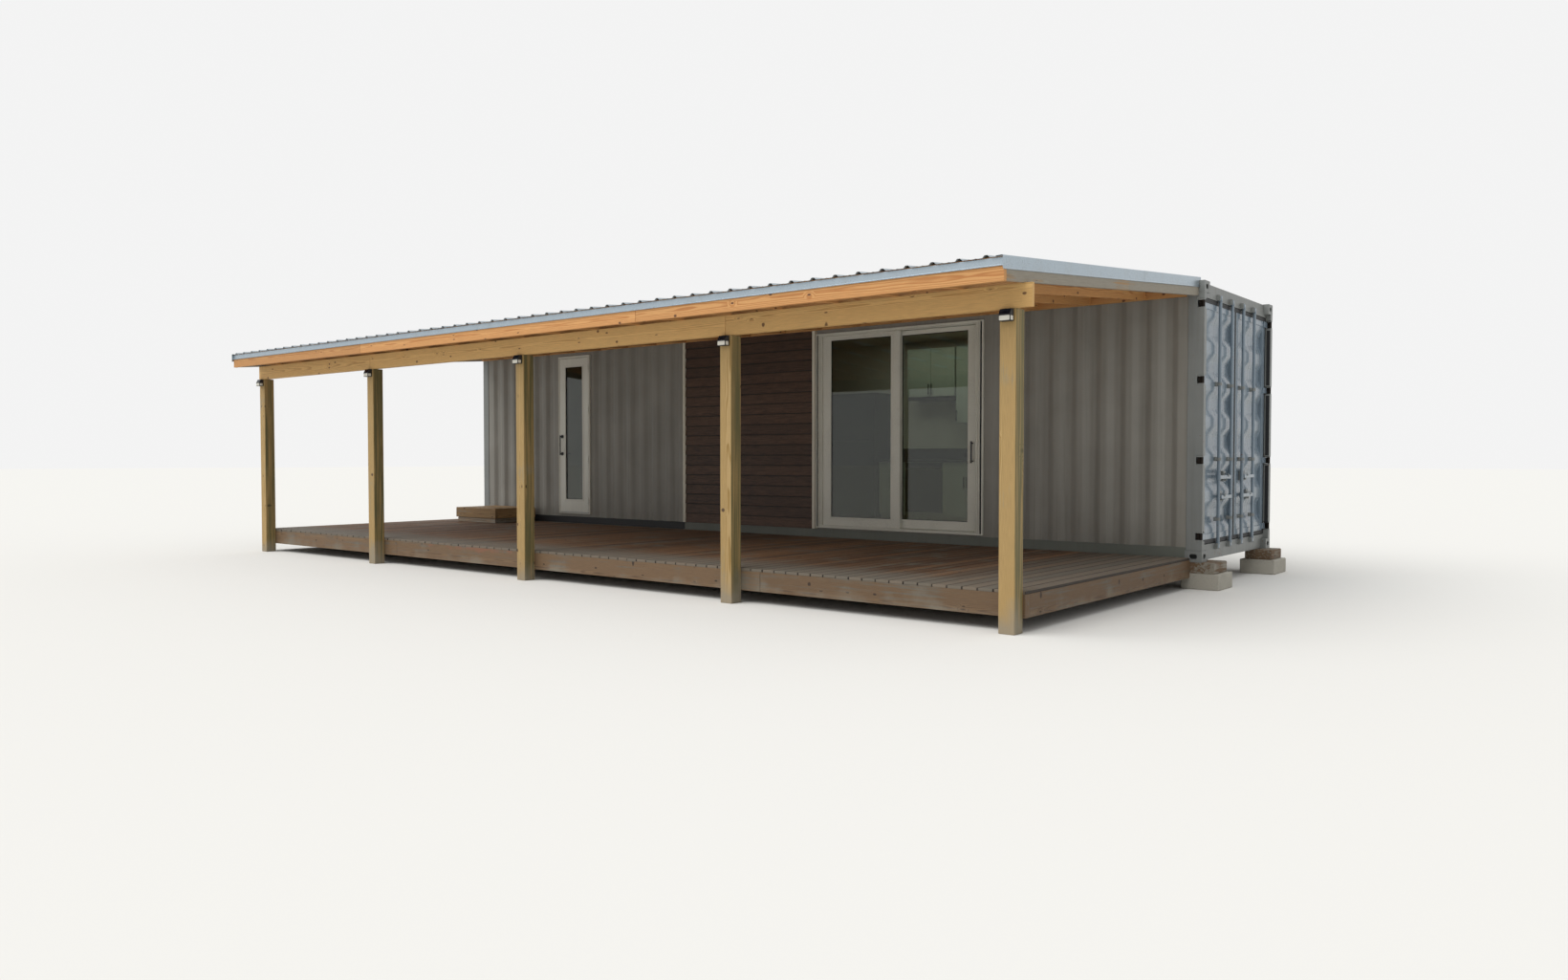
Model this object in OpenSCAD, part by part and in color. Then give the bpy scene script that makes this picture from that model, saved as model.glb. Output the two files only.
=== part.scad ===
// Shipping container cabin: a 40 ft high-cube container with a glazed entry door, a sliding
// glass door and a panel of lap siding let into its front side, its cargo doors kept at the
// right-hand end, and a lean-to porch on five posts with a raised timber deck.
// Millimetres. X runs along the container towards its cargo doors, Y from the porch to the
// back, Z up from the ground. Modules draw in container coordinates: x = 0 at the plain end,
// y = 0 at the front side, z = 0 at the ground; placed() moves them to the part's own origin.

/* [Container] */
// Length over the corner castings
container_l = 12192; // [11800:1:12800]
// Width over the corner castings
container_w = 2438; // [2300:1:2600]
// Height over the corner castings
container_h = 2896; // [2860:1:3100]
// Height of the container's underside above the ground
ground_clear = 280; // [240:1:400]
// Thickness of the corrugated steel sheet
sheet_t = 2; // [1.5:0.1:4]
// Length of one corrugation of the side walls
side_pitch = 278; // [250:1:320]
// Depth of the side walls' corrugations
side_depth = 36; // [25:1:45]
// Length of one corrugation of the plain end wall
end_pitch = 250; // [200:1:300]
// Depth of the end wall's corrugations
end_depth = 45; // [30:1:50]
// Length of one corrugation of the container's roof
roof_pitch = 209; // [180:1:260]
// Depth of the container roof's corrugations
roof_depth = 20; // [12:1:26]
// How far the sheets sit behind the outer faces of the frame
sheet_inset = 8; // [4:1:12]
// Thickness of the insulated inner lining
lining_t = 60; // [40:1:80]
// Thickness of the plywood floor
floor_t = 28; // [20:1:35]

/* [Container frame] */
// Width of a corner casting across the container
casting_w = 162; // [150:1:180]
// Length of a corner casting along the container
casting_l = 178; // [165:1:195]
// Height of a corner casting
casting_h = 118; // [110:1:125]
// Side of the corner posts at the plain end
post_side = 140; // [120:1:155]
// Wall of the corner posts and end rails
post_wall = 8; // [5:1:12]
// Side of the square top rails
top_rail = 60; // [50:1:80]
// Height of the bottom side rails' top edge above the underside
bottom_rail_top = 150; // [140:1:165]
// Flange width of the bottom side rails
bottom_rail_w = 48; // [40:1:60]
// Height of the door header
header_h = 150; // [140:1:165]
// Number of steel beams under the floor
cross_count = 28; // [20:1:34]

/* [Entry door] */
// Left edge of the entry door's frame
entry_x = 2015; // [1700:1:2600]
// Width over the entry door's frame
entry_w = 745; // [720:1:900]
// Height of the entry door frame's bottom above the container's underside
entry_z = 193; // [180:1:230]
// Height of both door frames' heads above the container's underside
head_z = 2690; // [2500:1:2700]
// Width of the frame's jambs
entry_jamb = 28; // [20:1:40]
// Thickness of the door leaf
leaf_t = 45; // [35:1:50]
// Width of the leaf's stiles
entry_stile = 130; // [90:1:150]
// Height of the leaf's bottom rail
entry_bottom_rail = 195; // [150:1:260]
// Gap round every moving leaf
leaf_gap = 6; // [5:0.5:10]
// Heights of the three lower hinges above the container's underside
entry_hinge_z = [390, 1050, 1820]; // [350:1:2200]
// Height of the door's lower handle rose above the container's underside
entry_handle_z = 1145; // [1000:1:1300]
// Distance between the two handle roses
entry_grip_l = 275; // [200:1:400]

/* [Sliding door] */
// Left edge of the sliding door's frame
slider_x = 7215; // [7215:1:7600]
// Width over the sliding door's frame
slider_w = 2450; // [2200:1:2600]
// Width of the sliding door frame's jambs
slider_jamb = 100; // [60:1:110]
// Height of the sliding door frame's head
slider_head = 40; // [30:1:60]
// Height of the sliding door frame's sill
slider_sill = 34; // [25:1:45]
// Width of the sashes' stiles
sash_stile = 125; // [80:1:130]
// Height of the sashes' bottom rails
sash_bottom = 105; // [80:1:130]
// Height of the sashes' top rails
sash_top = 50; // [40:1:90]
// Thickness of a sash
sash_t = 40; // [30:1:45]
// Thickness of the glass
glass_t = 20; // [12:1:24]
// Height of the sliding sash's pull above the container's underside
pull_z = 1146; // [1000:1:1300]
// Length of the sliding sash's pull
pull_l = 260; // [180:1:320]

/* [Siding] */
// Left edge of the lap siding
siding_x = 4788; // [4500:1:5200]
// Height of siding showing in one course
course_h = 139; // [100:1:180]
// Thickness of a siding board at its butt
butt_t = 16; // [10:1:22]
// Width of the pale strips at the siding's edges
strip_w = 48; // [35:1:60]
// Width of the shadow gap between the siding and the sliding door
shadow_w = 20; // [12:1:30]

/* [Cargo doors] */
// How far the cargo doors' faces sit behind the frame's end
door_recess = 62; // [58:1:80]
// Thickness of a cargo door
cargo_t = 50; // [45:1:60]
// Width of the corner posts beside the cargo doors
door_post_w = 72; // [66:1:90]
// Height of one corrugation of the cargo doors' panels
cargo_pitch = 392; // [300:1:600]
// Diameter of the lock bars
bar_d = 34; // [26:1:38]
// Distance of the inner lock bars from the middle of the container
bar_inner = 200; // [160:1:260]
// Distance of the outer lock bars from the middle of the container
bar_outer = 610; // [520:1:700]
// Diameter of the hinge pins
pin_d = 22; // [18:1:24]
// Heights of the three lower hinges above the container's underside
hinge_z = [267, 1050, 1880]; // [250:1:2300]
// Depth of the top hinge below the container's top
hinge_drop = 236; // [220:1:400]
// Heights of the lock bars' brackets above the container's underside
bracket_z = [423, 1065, 1866]; // [400:1:2400]
// Heights of the inner and outer lock bars' handles above the container's underside
handle_z = [658, 872]; // [500:1:1400]
// Length of the lock bars' handles
handle_l = 360; // [300:1:380]

/* [Deck] */
// Depth of the deck from the container to its front edge
deck_depth = 3710; // [3300:1:4000]
// How far the deck runs past the container's plain end
deck_past = 122; // [60:1:200]
// How far the deck stops short of the container's door end
deck_short = 122; // [80:1:400]
// Height of the deck's surface above the container's underside
deck_z = 45; // [25:1:80]
// Thickness of the deck boards
deck_t = 25; // [20:1:38]
// Height of the rim boards and joists
joist_h = 184; // [140:1:235]
// Spacing of the deck's joists
joist_pitch = 406; // [300:1:610]

/* [Porch frame] */
// Side of the square porch posts
porch_post = 140; // [110:1:160]
// Left face of the first post
first_post_x = 0; // [-60:1:60]
// Post spacing in the two end bays
end_bay = 2895; // [2700:1:3000]
// How far the last post's left face is from the container's door end
last_post_in = 282; // [260:1:600]
// Height of the beam
beam_h = 184; // [140:1:235]
// Thickness of sawn framing boards
board_t = 38; // [32:1:45]
// How far the beam runs past the last post
beam_past = 130; // [0:1:160]
// How far the beam starts before the first post
beam_before = 10; // [0:1:100]
// Width of the lamps on the posts
lamp_w = 100; // [60:1:110]
// Height of the lamps on the posts
lamp_h = 95; // [60:1:150]

/* [Porch roof] */
// Slope of the porch roof in degrees
roof_slope = 5.1; // [4.6:0.1:5.4]
// How far the eave stands in front of the posts
eave_out = 350; // [250:1:450]
// Left end of the porch roof
roof_x = -30; // [-80:1:0]
// How far the porch roof stops short of the container's door end
roof_short = 62; // [45:1:200]
// Height of the roofing over the container's top at its front side
roof_lift = 25; // [15:1:60]
// How far the roofing laps over the container's top
roof_lap = 60; // [20:1:120]
// How far the roofing overhangs the fascia
roof_over = 25; // [15:1:50]
// Height of the rafters and fascia boards
rafter_h = 140; // [120:1:150]
// Spacing of the rafters
rafter_pitch = 610; // [400:1:1220]
// Number of purlins across the rafters
purlin_count = 7; // [5:1:9]
// Spacing of the roof sheets' ribs
rib_pitch = 228.6; // [180:0.1:310]
// Height of the roof sheets' ribs
rib_h = 19; // [15:1:26]
// Drop of the metal trim down the rakes
trim_drop = 90; // [60:1:110]
// Drop of the metal trim down the eave
eave_drop = 71; // [50:1:100]

/* [Footings] */
// Height of the concrete pads
pad_h = 167; // [80:1:200]
// How far the concrete pads stand out round the timber blocks
pad_margin = 45; // [20:1:80]
// Length of the timber blocks across the container
block_l = 400; // [300:1:500]
// Length of the timber blocks along the container
block_w = 300; // [220:1:360]
// How far the timber blocks stand out past the container's ends
block_out = 128; // [40:1:140]
// How far the rear timber blocks stand out behind the container
block_back = 12; // [0:1:60]

/* [Kitchen] */
// Left end of the kitchen's tall unit
kitchen_x = 6110; // [5000:1:6300]
// Width of the tall unit
tall_w = 910; // [600:1:950]
// Length of the base units
base_l = 2550; // [1200:1:2900]
// Height of the worktop above the floor
worktop_h = 890; // [850:1:950]
// Depth of the base units
base_depth = 610; // [550:1:650]
// Depth of the wall units
wall_depth = 330; // [280:1:360]
// Height of the tall unit
tall_h = 1850; // [1700:1:2200]
// Height of the wall units' tops above the floor
unit_top_h = 2466; // [2250:1:2500]
// Height of the left wall units' undersides above the floor
left_unit_h = 1782; // [1400:1:2000]
// Height of the right wall units' undersides above the floor
right_unit_h = 1398; // [1350:1:2000]
// Width of the left wall units
left_unit_w = 780; // [600:1:780]

/* [Hidden] */
$fn = 48;
steel = "#8b8f8d";
door_steel = "#9aa3a8";
timber = "#a3814f";
new_timber = "#c98b4e";
grey_timber = "#8f8a7d";
white = "#e9e7df";
glass_tint = "#4d5a58";
black = "#1d1e1f";

// Small gaps: between a moving piece and its seat, round a hinge pin, under sloping boards
seat_gap = 0.3;
pin_play = 0.3;
lay_gap = 0.1;

// Levels above the ground
base_z = ground_clear;
top_z = base_z + container_h;
floor_top = base_z + bottom_rail_top - 10 + floor_t;
deck_top = base_z + deck_z;
joist_top = deck_top - deck_t;
head_top = base_z + head_z;

// Container outline
rail_in = 6;
face_in = 2;
top_rail_wall = 4;
bottom_rail_wall = 5;
header_wall = 6;
header_out = 4;
wall_inner = sheet_inset + side_depth + sheet_t;
lining_y = wall_inner + 2;
lining_in = lining_y + lining_t;
wall_low = base_z + bottom_rail_top;
wall_high = top_z - top_rail - rail_in;
ceiling_z = wall_high - lining_t;
mid_y = container_w / 2;
inside_end = container_l - casting_l;
door_post_l = casting_l - 12;
door_post_x = container_l - door_post_l;
door_face_x = container_l - door_recess;
door_clear = 12;
door_top = top_z - header_h - door_clear;
door_bottom = floor_top + door_clear;

// Doorways in the front side
entry_end = entry_x + entry_w;
entry_sill = base_z + entry_z;
slider_end = slider_x + slider_w;

// Cargo door hinges
knuckle_d = pin_d + 14;
hinge_in = knuckle_d / 2 + face_in;
hinge_x = container_l - hinge_in;
notch = door_recess + 8;
hinge_h = 70;
lug_t = 14;
lug_gap = 0.5;
blade_t = 14;
hinge_levels = [for (z = concat(hinge_z, container_h - hinge_drop)) base_z + z];

// Porch outline
post_front = -(deck_depth + porch_post);
eave_y = post_front - eave_out;
roof_front = eave_y - roof_over;
roof_end = container_l - roof_short;
roof_l = roof_end - roof_x;
deck_x = -deck_past;
deck_end = container_l - deck_short;
last_post_x = container_l - last_post_in;
mid_bay = (last_post_x - first_post_x - 2 * end_bay) / 2;
post_x = [first_post_x, first_post_x + end_bay, first_post_x + end_bay + mid_bay,
    last_post_x - end_bay, last_post_x];
beam_x = first_post_x - beam_before;
beam_end = last_post_x + porch_post + beam_past;
rise = tan(roof_slope);
plumb = rafter_h / cos(roof_slope);
purlin_t = board_t;
sheet_lift = (purlin_t + lay_gap) / cos(roof_slope);
metal_t = 1.5;
beam_top = top_z + roof_lift - sheet_lift - plumb + post_front * rise;
beam_bottom = beam_top - beam_h;

// Height of the rafters' underside at a distance y
function rafter_under(y) = beam_top + (y - post_front) * rise;
// Height of the rafters' top at a distance y
function rafter_top(y) = rafter_under(y) + plumb;
// Height of the purlins' top at a distance y
function purlin_top(y) = rafter_top(y) + sheet_lift;

// Extent of the whole part, for its origin
pad_out = block_out + pad_margin;
x_low = min(deck_x, roof_x - metal_t, -pad_out);
x_high = container_l + pad_out;
y_low = roof_front - (rib_h + metal_t) * sin(roof_slope);
y_high = container_w + block_back + pad_margin;
module placed() translate([-(x_low + x_high) / 2, -(y_low + y_high) / 2, 0]) children();

// A box between two corners
module block(low, high) translate(low) cube([for (i = [0:2]) high[i] - low[i]]);

// One corrugated line: trapezoid waves of the given pitch and depth from 0 to length
function wave(length, pitch, depth) = let (n = floor(length / pitch), m = (length - n * pitch) / 2)
    concat([[0, 0]], [for (i = [0:n - 1], p = [[0.13, 0], [0.37, depth], [0.63, depth], [0.87, 0]])
        [m + (i + p[0]) * pitch, p[1]]], [[length, 0]]);
// The outline of a corrugated sheet of the given thickness
function sheet_outline(line, t) = concat(line, [for (i = [len(line) - 1:-1:0])
    line[i] + [0, t]]);

// A corrugated wall in the X-Z plane, its outer flats at y = 0 and its waves going to +Y
module wall_sheet(length, height, pitch, depth) linear_extrude(height)
    polygon(sheet_outline(wave(length, pitch, depth), sheet_t));

// A box tube along X between two corners
module tube_x(low, high, wall) difference() {
    block(low, high);
    block([low[0] - 1, low[1] + wall, low[2] + wall], [high[0] + 1, high[1] - wall,
        high[2] - wall]);
}
// A box tube along Y between two corners
module tube_y(low, high, wall) difference() {
    block(low, high);
    block([low[0] + wall, low[1] - 1, low[2] + wall], [high[0] - wall, high[1] + 1,
        high[2] - wall]);
}

// Outline of a channel standing on edge, open to the right
function channel(height, flange, wall) = [[0, 0], [flange, 0], [flange, wall], [wall, wall],
    [wall, height - wall], [flange, height - wall], [flange, height], [0, height]];

// Draws its children once for each of the front and rear sides
module both_sides() for (b = [0, 1]) translate([0, b * container_w, 0]) mirror([0, b, 0])
    children();

// Timber blocks under the four corner castings
module block_spots() for (a = [0, 1], y = [0, container_w + block_back - block_l])
    translate([a * container_l, y, 0]) mirror([a, 0, 0]) translate([-block_out, 0, 0]) children();
module timber_blocks() color("#6b5236") placed() block_spots()
    block([0, 0, pad_h], [block_w, block_l, base_z]);

// Concrete pads under the timber blocks
module concrete_pads() color("#b9b6ad") placed() for (y = [0, container_w + block_back - block_l])
    for (x = [-block_out, container_l + block_out - block_w])
        block([x - pad_margin, max(y - pad_margin, 0), 0], [x + block_w + pad_margin,
            y + block_l + pad_margin, pad_h]);

// An oval hole, long in X
module oval(l, w, h) linear_extrude(h) union() {
    translate([-(l - w) / 2, -w / 2]) square([l - w, w]);
    for (s = [-1, 1]) translate([s * (l - w) / 2, 0]) circle(d = w);
}

// A corner casting with an oval hole in its end, its side and its flat face
casting_wall = 14;
casting_back = 8;
side_hole = [79, 51];
flat_hole = [124, 63.5];
module casting() difference() {
    cube([casting_l, casting_w, casting_h]);
    translate([casting_wall, casting_wall, casting_wall])
        cube([casting_l - casting_wall - casting_back, casting_w - casting_wall - casting_back,
            casting_h - 2 * casting_wall]);
    deep = 2 * casting_wall;
    translate([casting_l / 2, -1, casting_h / 2]) rotate([-90, 0, 0])
        oval(side_hole[0], side_hole[1], deep);
    translate([-1, casting_w / 2, casting_h / 2]) rotate([0, 90, 0]) rotate(90)
        oval(side_hole[0], side_hole[1], deep);
    translate([casting_l / 2, casting_w / 2, -1]) oval(flat_hole[0], flat_hole[1], deep);
}
module casting_spots() for (a = [0, 1], b = [0, 1], c = [0, 1])
    translate([a * container_l, b * container_w, base_z + c * container_h])
        mirror([a, 0, 0]) mirror([0, b, 0]) mirror([0, 0, c]) children();
module corner_castings() color(steel) placed() casting_spots() casting();

// Draws its children with the space of the corner castings cut away
module between_castings() difference() {
    children();
    casting_spots() cube([casting_l, casting_w, casting_h]);
}

// Corner posts: pressed angles at the plain end, box posts beside the cargo doors
module corner_posts() color(steel) placed() both_sides() {
    end_lip = sheet_inset + end_depth + sheet_t;
    translate([0, 0, base_z + casting_h]) linear_extrude(container_h - 2 * casting_h)
        polygon([[0, 0], [post_side, 0], [post_side, wall_inner], [post_side - post_wall,
            wall_inner], [post_side - post_wall, post_wall], [post_wall, post_wall],
            [post_wall, post_side - post_wall], [end_lip, post_side - post_wall],
            [end_lip, post_side], [0, post_side]]);
    translate([container_l, 0, 0]) mirror([1, 0, 0]) door_post();
}
// A box post, notched for the cargo door's hinges
module door_post() difference() {
    translate([0, 0, base_z + casting_h]) linear_extrude(container_h - 2 * casting_h)
        difference() {
            square([door_post_l, door_post_w]);
            translate([post_wall, post_wall])
                square([door_post_l - 2 * post_wall, door_post_w - 2 * post_wall]);
        }
    half = hinge_h / 2 + lug_gap + lug_t;
    for (z = hinge_levels) translate([-1, -1, z - half]) cube([notch + 1, door_post_w + 2,
        2 * half]);
}

// Bottom and top rails of both long sides
module side_rails() color(steel) placed() between_castings() both_sides() {
    translate([post_side, face_in, base_z + rail_in]) rotate([90, 0, 90])
        linear_extrude(door_post_x - post_side)
            polygon(channel(bottom_rail_top - rail_in, bottom_rail_w, bottom_rail_wall));
    tube_x([post_side, face_in, wall_high], [door_post_x, face_in + top_rail,
        top_z - rail_in], top_rail_wall);
}

// Rails of the plain end, and the header and sill of the cargo doorway
module end_rails() color(steel) placed() between_castings() {
    tube_y([face_in, post_side, base_z + rail_in], [face_in + top_rail,
        container_w - post_side, wall_low], bottom_rail_wall);
    tube_y([face_in, post_side, wall_high], [face_in + top_rail, container_w - post_side,
        top_z - rail_in], top_rail_wall);
    header_x = door_face_x + header_out;
    tube_y([inside_end, door_post_w, base_z + rail_in], [header_x, container_w - door_post_w,
        floor_top], header_wall);
    tube_y([inside_end, door_post_w, top_z - header_h], [header_x, container_w - door_post_w,
        top_z - rail_in], header_wall);
}

// Steel channels across the container that carry the floor
cross_depth = 122;
cross_flange = 45;
cross_wall = 4;
cross_end = 100;
module cross_members() color("#2a2a2a") placed() {
    first = casting_l + cross_end;
    pitch = (inside_end - cross_end - cross_flange - first) / (cross_count - 1);
    web_in = face_in + bottom_rail_wall;
    for (i = [0:cross_count - 1])
        translate([first + i * pitch, container_w - web_in, floor_top - floor_t - cross_depth])
            rotate([90, 0, 0]) linear_extrude(container_w - 2 * web_in)
                polygon(channel(cross_depth, cross_flange, cross_wall));
}

// Plywood floor
module cabin_floor() color("#9c7b52") placed() block([face_in + top_rail,
    face_in + bottom_rail_w, floor_top - floor_t], [inside_end,
    container_w - face_in - bottom_rail_w, floor_top]);

// Corrugated roof of the container with a flat plate at its plain end
module container_roof() color(steel) placed() {
    skin_top = top_z - rail_in;
    side = face_in + top_rail;
    translate([casting_l, container_w - side, skin_top]) rotate([90, 0, 0])
        linear_extrude(container_w - 2 * side) mirror([0, 1])
            polygon(sheet_outline(wave(inside_end - casting_l, roof_pitch, roof_depth), sheet_t));
    block([side, casting_w, skin_top - sheet_t], [casting_l, container_w - casting_w, skin_top]);
}

// Corrugated back wall
module rear_wall() color(steel) placed() between_castings()
    translate([post_side, container_w - sheet_inset, wall_low]) mirror([0, 1, 0])
        wall_sheet(door_post_x - post_side, wall_high - wall_low, side_pitch, side_depth);

// Corrugated wall of the plain end
module end_wall() color(steel) placed() between_castings()
    translate([sheet_inset, container_w - post_side, wall_low]) rotate(-90)
        wall_sheet(container_w - 2 * post_side, wall_high - wall_low, end_pitch, end_depth);

// Front side: corrugated sheets beside the doorways, box lintels over them and the siding,
// and low sill plates under the door frames
lintel_wall = 3;
module front_wall() color(steel) placed() between_castings() {
    for (span = [[post_side, entry_x], [entry_end, siding_x], [slider_end, door_post_x]])
        translate([span[0], sheet_inset, wall_low])
            wall_sheet(span[1] - span[0], wall_high - wall_low, side_pitch, side_depth);
    for (span = [[entry_x, entry_end, head_top], [siding_x, slider_x, siding_high],
        [slider_x, slider_end, head_top]])
        tube_x([span[0] + 1, sheet_inset, span[2]], [span[1] - 1, wall_inner, wall_high],
            lintel_wall);
    block([slider_x + 1, sheet_inset, wall_low], [slider_end - 1, lining_y, floor_top]);
    block([entry_x + 1, sheet_inset, wall_low], [entry_end - 1, lining_y, entry_sill]);
    block([entry_x + 1, lining_y, floor_top], [entry_end - 1, lining_in, entry_sill]);
}

// Lap siding beside the sliding door, one wedge-shaped course over the other
siding_high = rafter_under(-board_t);
siding_x0 = siding_x + strip_w;
siding_x1 = slider_x - strip_w - shadow_w;
siding_top = siding_high - wall_low;
courses = floor(siding_top / course_h);
lap_t = 2;
siding_in = 12;
butt_y = siding_in - butt_t;
thin_y = sheet_inset + lap_t;
module siding_panel() color("#4a342b") placed() translate([siding_x0, 0, wall_low])
    rotate([90, 0, 90]) linear_extrude(siding_x1 - siding_x0) polygon(concat([[lining_y, 0]],
        [for (i = [0:courses], up = [min(1, siding_top / course_h - i)]) each [
            [butt_y, i * course_h], [butt_y + up * (thin_y - butt_y), (i + up) * course_h]]],
        [[lining_y, siding_top]]));

// Pale strips at both edges of the siding, the right one with a recessed fin to the frame
strip_out = 10;
fin_t = 24;
module siding_trim() color(white) placed() {
    front = butt_y - strip_out;
    for (x = [siding_x, siding_x1])
        block([x, front, wall_low], [x + strip_w, lining_y, siding_high]);
    block([siding_x1 + strip_w, lining_y - fin_t, wall_low], [slider_x, lining_y, siding_high]);
}

// Insulated inner lining of the walls, cut out at the doorways
module wall_lining() color("#d9d4c7") placed() {
    low = floor_top;
    x_in = end_depth + sheet_inset + sheet_t + 2;
    block([x_in, container_w - lining_in, low], [inside_end, container_w - lining_y, ceiling_z]);
    block([x_in, lining_in + 1, low], [x_in + lining_t, container_w - lining_in - 1, ceiling_z]);
    for (span = [[x_in, entry_x], [entry_end, slider_x], [slider_end, inside_end]])
        block([span[0], lining_y, low], [span[1], lining_in, ceiling_z]);
    for (span = [[entry_x, entry_end], [slider_x, slider_end]])
        block([span[0] + 1, lining_y, head_top + 1], [span[1] - 1, lining_in, ceiling_z]);
}
module ceiling_lining() color("#ddd9cd") placed() between_castings() block([end_depth
    + sheet_inset + sheet_t + 2, lining_y, ceiling_z], [inside_end, container_w - lining_y,
    wall_high]);

// Frame of the entry door: two jambs, a head and a sill, with stops behind the leaf
frame_front = -12;
entry_floor = entry_sill + 22;
stop_t = 12;
end_knuckle = 12;
knuckle_gap = 0.5;
knuckle_wing = 30;
module entry_frame() color(white) placed() {
    difference() {
        block([entry_x, frame_front, entry_sill], [entry_end, lining_in, head_top]);
        block([entry_x + entry_jamb, frame_front - 1, entry_floor], [entry_end - entry_jamb,
            lining_in + 1, head_top - entry_jamb]);
    }
    stop_y = frame_front + leaf_t + leaf_gap;
    for (x = [entry_x + entry_jamb, entry_end - entry_jamb - stop_t])
        block([x, stop_y, entry_floor], [x + stop_t, lining_in, head_top - entry_jamb]);
    block([entry_x + entry_jamb, stop_y, head_top - entry_jamb - stop_t],
        [entry_end - entry_jamb, lining_in, head_top - entry_jamb]);
    // Upper and lower knuckles of each hinge
    for (z = entry_hinges, s = [-1, 1])
        translate([0, 0, z + s * ((entry_knuckle + end_knuckle) / 2 + knuckle_gap)]) {
            translate([entry_hinge_x, entry_hinge_y, 0]) cylinder(d = hinge_d, h = end_knuckle,
                center = true);
            block([entry_hinge_x, frame_front - hinge_leaf_t, -end_knuckle / 2],
                [entry_hinge_x + knuckle_wing, frame_front, end_knuckle / 2]);
        }
}

// Entry door leaf with a full pane and the middle knuckles of its hinges
leaf_x0 = entry_x + entry_jamb + leaf_gap;
leaf_x1 = entry_end - entry_jamb - leaf_gap;
leaf_z0 = entry_floor + leaf_gap;
leaf_z1 = head_top - entry_jamb - leaf_gap;
hinge_d = 14;
hinge_leaf_t = 2.5;
entry_knuckle = 76;
entry_hinge_x = leaf_x1 + leaf_gap / 2;
entry_hinge_y = frame_front - hinge_d / 2;
entry_hinge_drop = 190;
entry_hinges = [for (z = concat(entry_hinge_z, head_z - entry_hinge_drop)) base_z + z];
module entry_door() color(white) placed() {
    difference() {
        block([leaf_x0, frame_front, leaf_z0], [leaf_x1, frame_front + leaf_t, leaf_z1]);
        block([leaf_x0 + entry_stile, frame_front - 1, leaf_z0 + entry_bottom_rail],
            [leaf_x1 - entry_stile, frame_front + leaf_t + 1, leaf_z1 - entry_stile]);
    }
    for (z = entry_hinges) {
        translate([entry_hinge_x, entry_hinge_y, z]) cylinder(d = hinge_d, h = entry_knuckle,
            center = true);
        block([leaf_x1 - knuckle_wing, frame_front - hinge_leaf_t, z - entry_knuckle / 2],
            [entry_hinge_x, frame_front, z + entry_knuckle / 2]);
    }
}
module entry_glass() color(glass_tint, 0.4) placed()
    block([leaf_x0 + entry_stile, frame_front + (leaf_t - glass_t) / 2, leaf_z0 + entry_bottom_rail],
        [leaf_x1 - entry_stile, frame_front + (leaf_t + glass_t) / 2, leaf_z1 - entry_stile]);

// Two round roses with an upright grip between them outside, and a lever inside
rose_in = 55;
rose_d = 54;
rose_t = 12;
grip_d = 18;
grip_neck = 16;
grip_out = 48;
grip_past = 20;
lever_t = 12;
lever_l = 110;
module entry_handle() color(black) placed() {
    x = leaf_x0 + rose_in;
    low = base_z + entry_handle_z;
    for (z = [low, low + entry_grip_l]) translate([x, frame_front, z]) rotate([90, 0, 0]) {
        cylinder(d = rose_d, h = rose_t);
        cylinder(d = grip_neck, h = grip_out);
    }
    translate([x, frame_front - grip_out, low - grip_past]) cylinder(d = grip_d,
        h = entry_grip_l + 2 * grip_past);
    back = frame_front + leaf_t;
    translate([x, back, low]) rotate([-90, 0, 0]) {
        cylinder(d = rose_d, h = rose_t);
        cylinder(d = grip_d, h = grip_out);
    }
    block([x - grip_d / 2, back + grip_out - lever_t, low - grip_d / 2],
        [x + lever_l, back + grip_out, low + grip_d / 2]);
}

// Frame of the sliding door, with a low rib that guides the moving sash
slider_front = -10;
track_out = slider_front + 14;
track_gap = 8;
track_in = track_out + sash_t + track_gap;
rib_w = 10;
slider_z0 = floor_top + slider_sill;
slider_z1 = head_top - slider_head;
pane_z0 = slider_z0 + sash_bottom;
pane_z1 = slider_z1 - sash_top;
sash_w = (slider_w - 2 * slider_jamb + sash_stile) / 2;
module slider_frame() color(white) placed() {
    difference() {
        block([slider_x, slider_front, floor_top], [slider_end, lining_in, head_top]);
        block([slider_x + slider_jamb, slider_front - 1, slider_z0],
            [slider_end - slider_jamb, lining_in + 1, slider_z1]);
    }
    rib_y = track_in + (sash_t - rib_w) / 2;
    block([slider_x + slider_jamb, rib_y, slider_z0], [slider_end - slider_jamb, rib_y + rib_w,
        slider_z0 + leaf_gap - seat_gap]);
}

// A sash between two levels with its pane's opening
module sash(x, low, high) difference() {
    block([x, 0, low], [x + sash_w, sash_t, high]);
    block([x + sash_stile, -1, pane_z0], [x + sash_w - sash_stile, sash_t + 1, pane_z1]);
}
module sash_pane(x) block([x + sash_stile, (sash_t - glass_t) / 2, pane_z0],
    [x + sash_w - sash_stile, (sash_t + glass_t) / 2, pane_z1]);
fixed_x = slider_x + slider_jamb;
moving_x = slider_end - slider_jamb - sash_w - leaf_gap;
module slider_fixed_sash() color(white) placed() translate([0, track_out, 0])
    sash(fixed_x, slider_z0, slider_z1);
module slider_fixed_glass() color(glass_tint, 0.4) placed() translate([0, track_out, 0])
    sash_pane(fixed_x);
module sliding_sash() color(white) placed() translate([0, track_in, 0])
    sash(moving_x, slider_z0 + leaf_gap, slider_z1 - leaf_gap);
module sliding_glass() color(glass_tint, 0.4) placed() translate([0, track_in, 0])
    sash_pane(moving_x);

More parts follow.
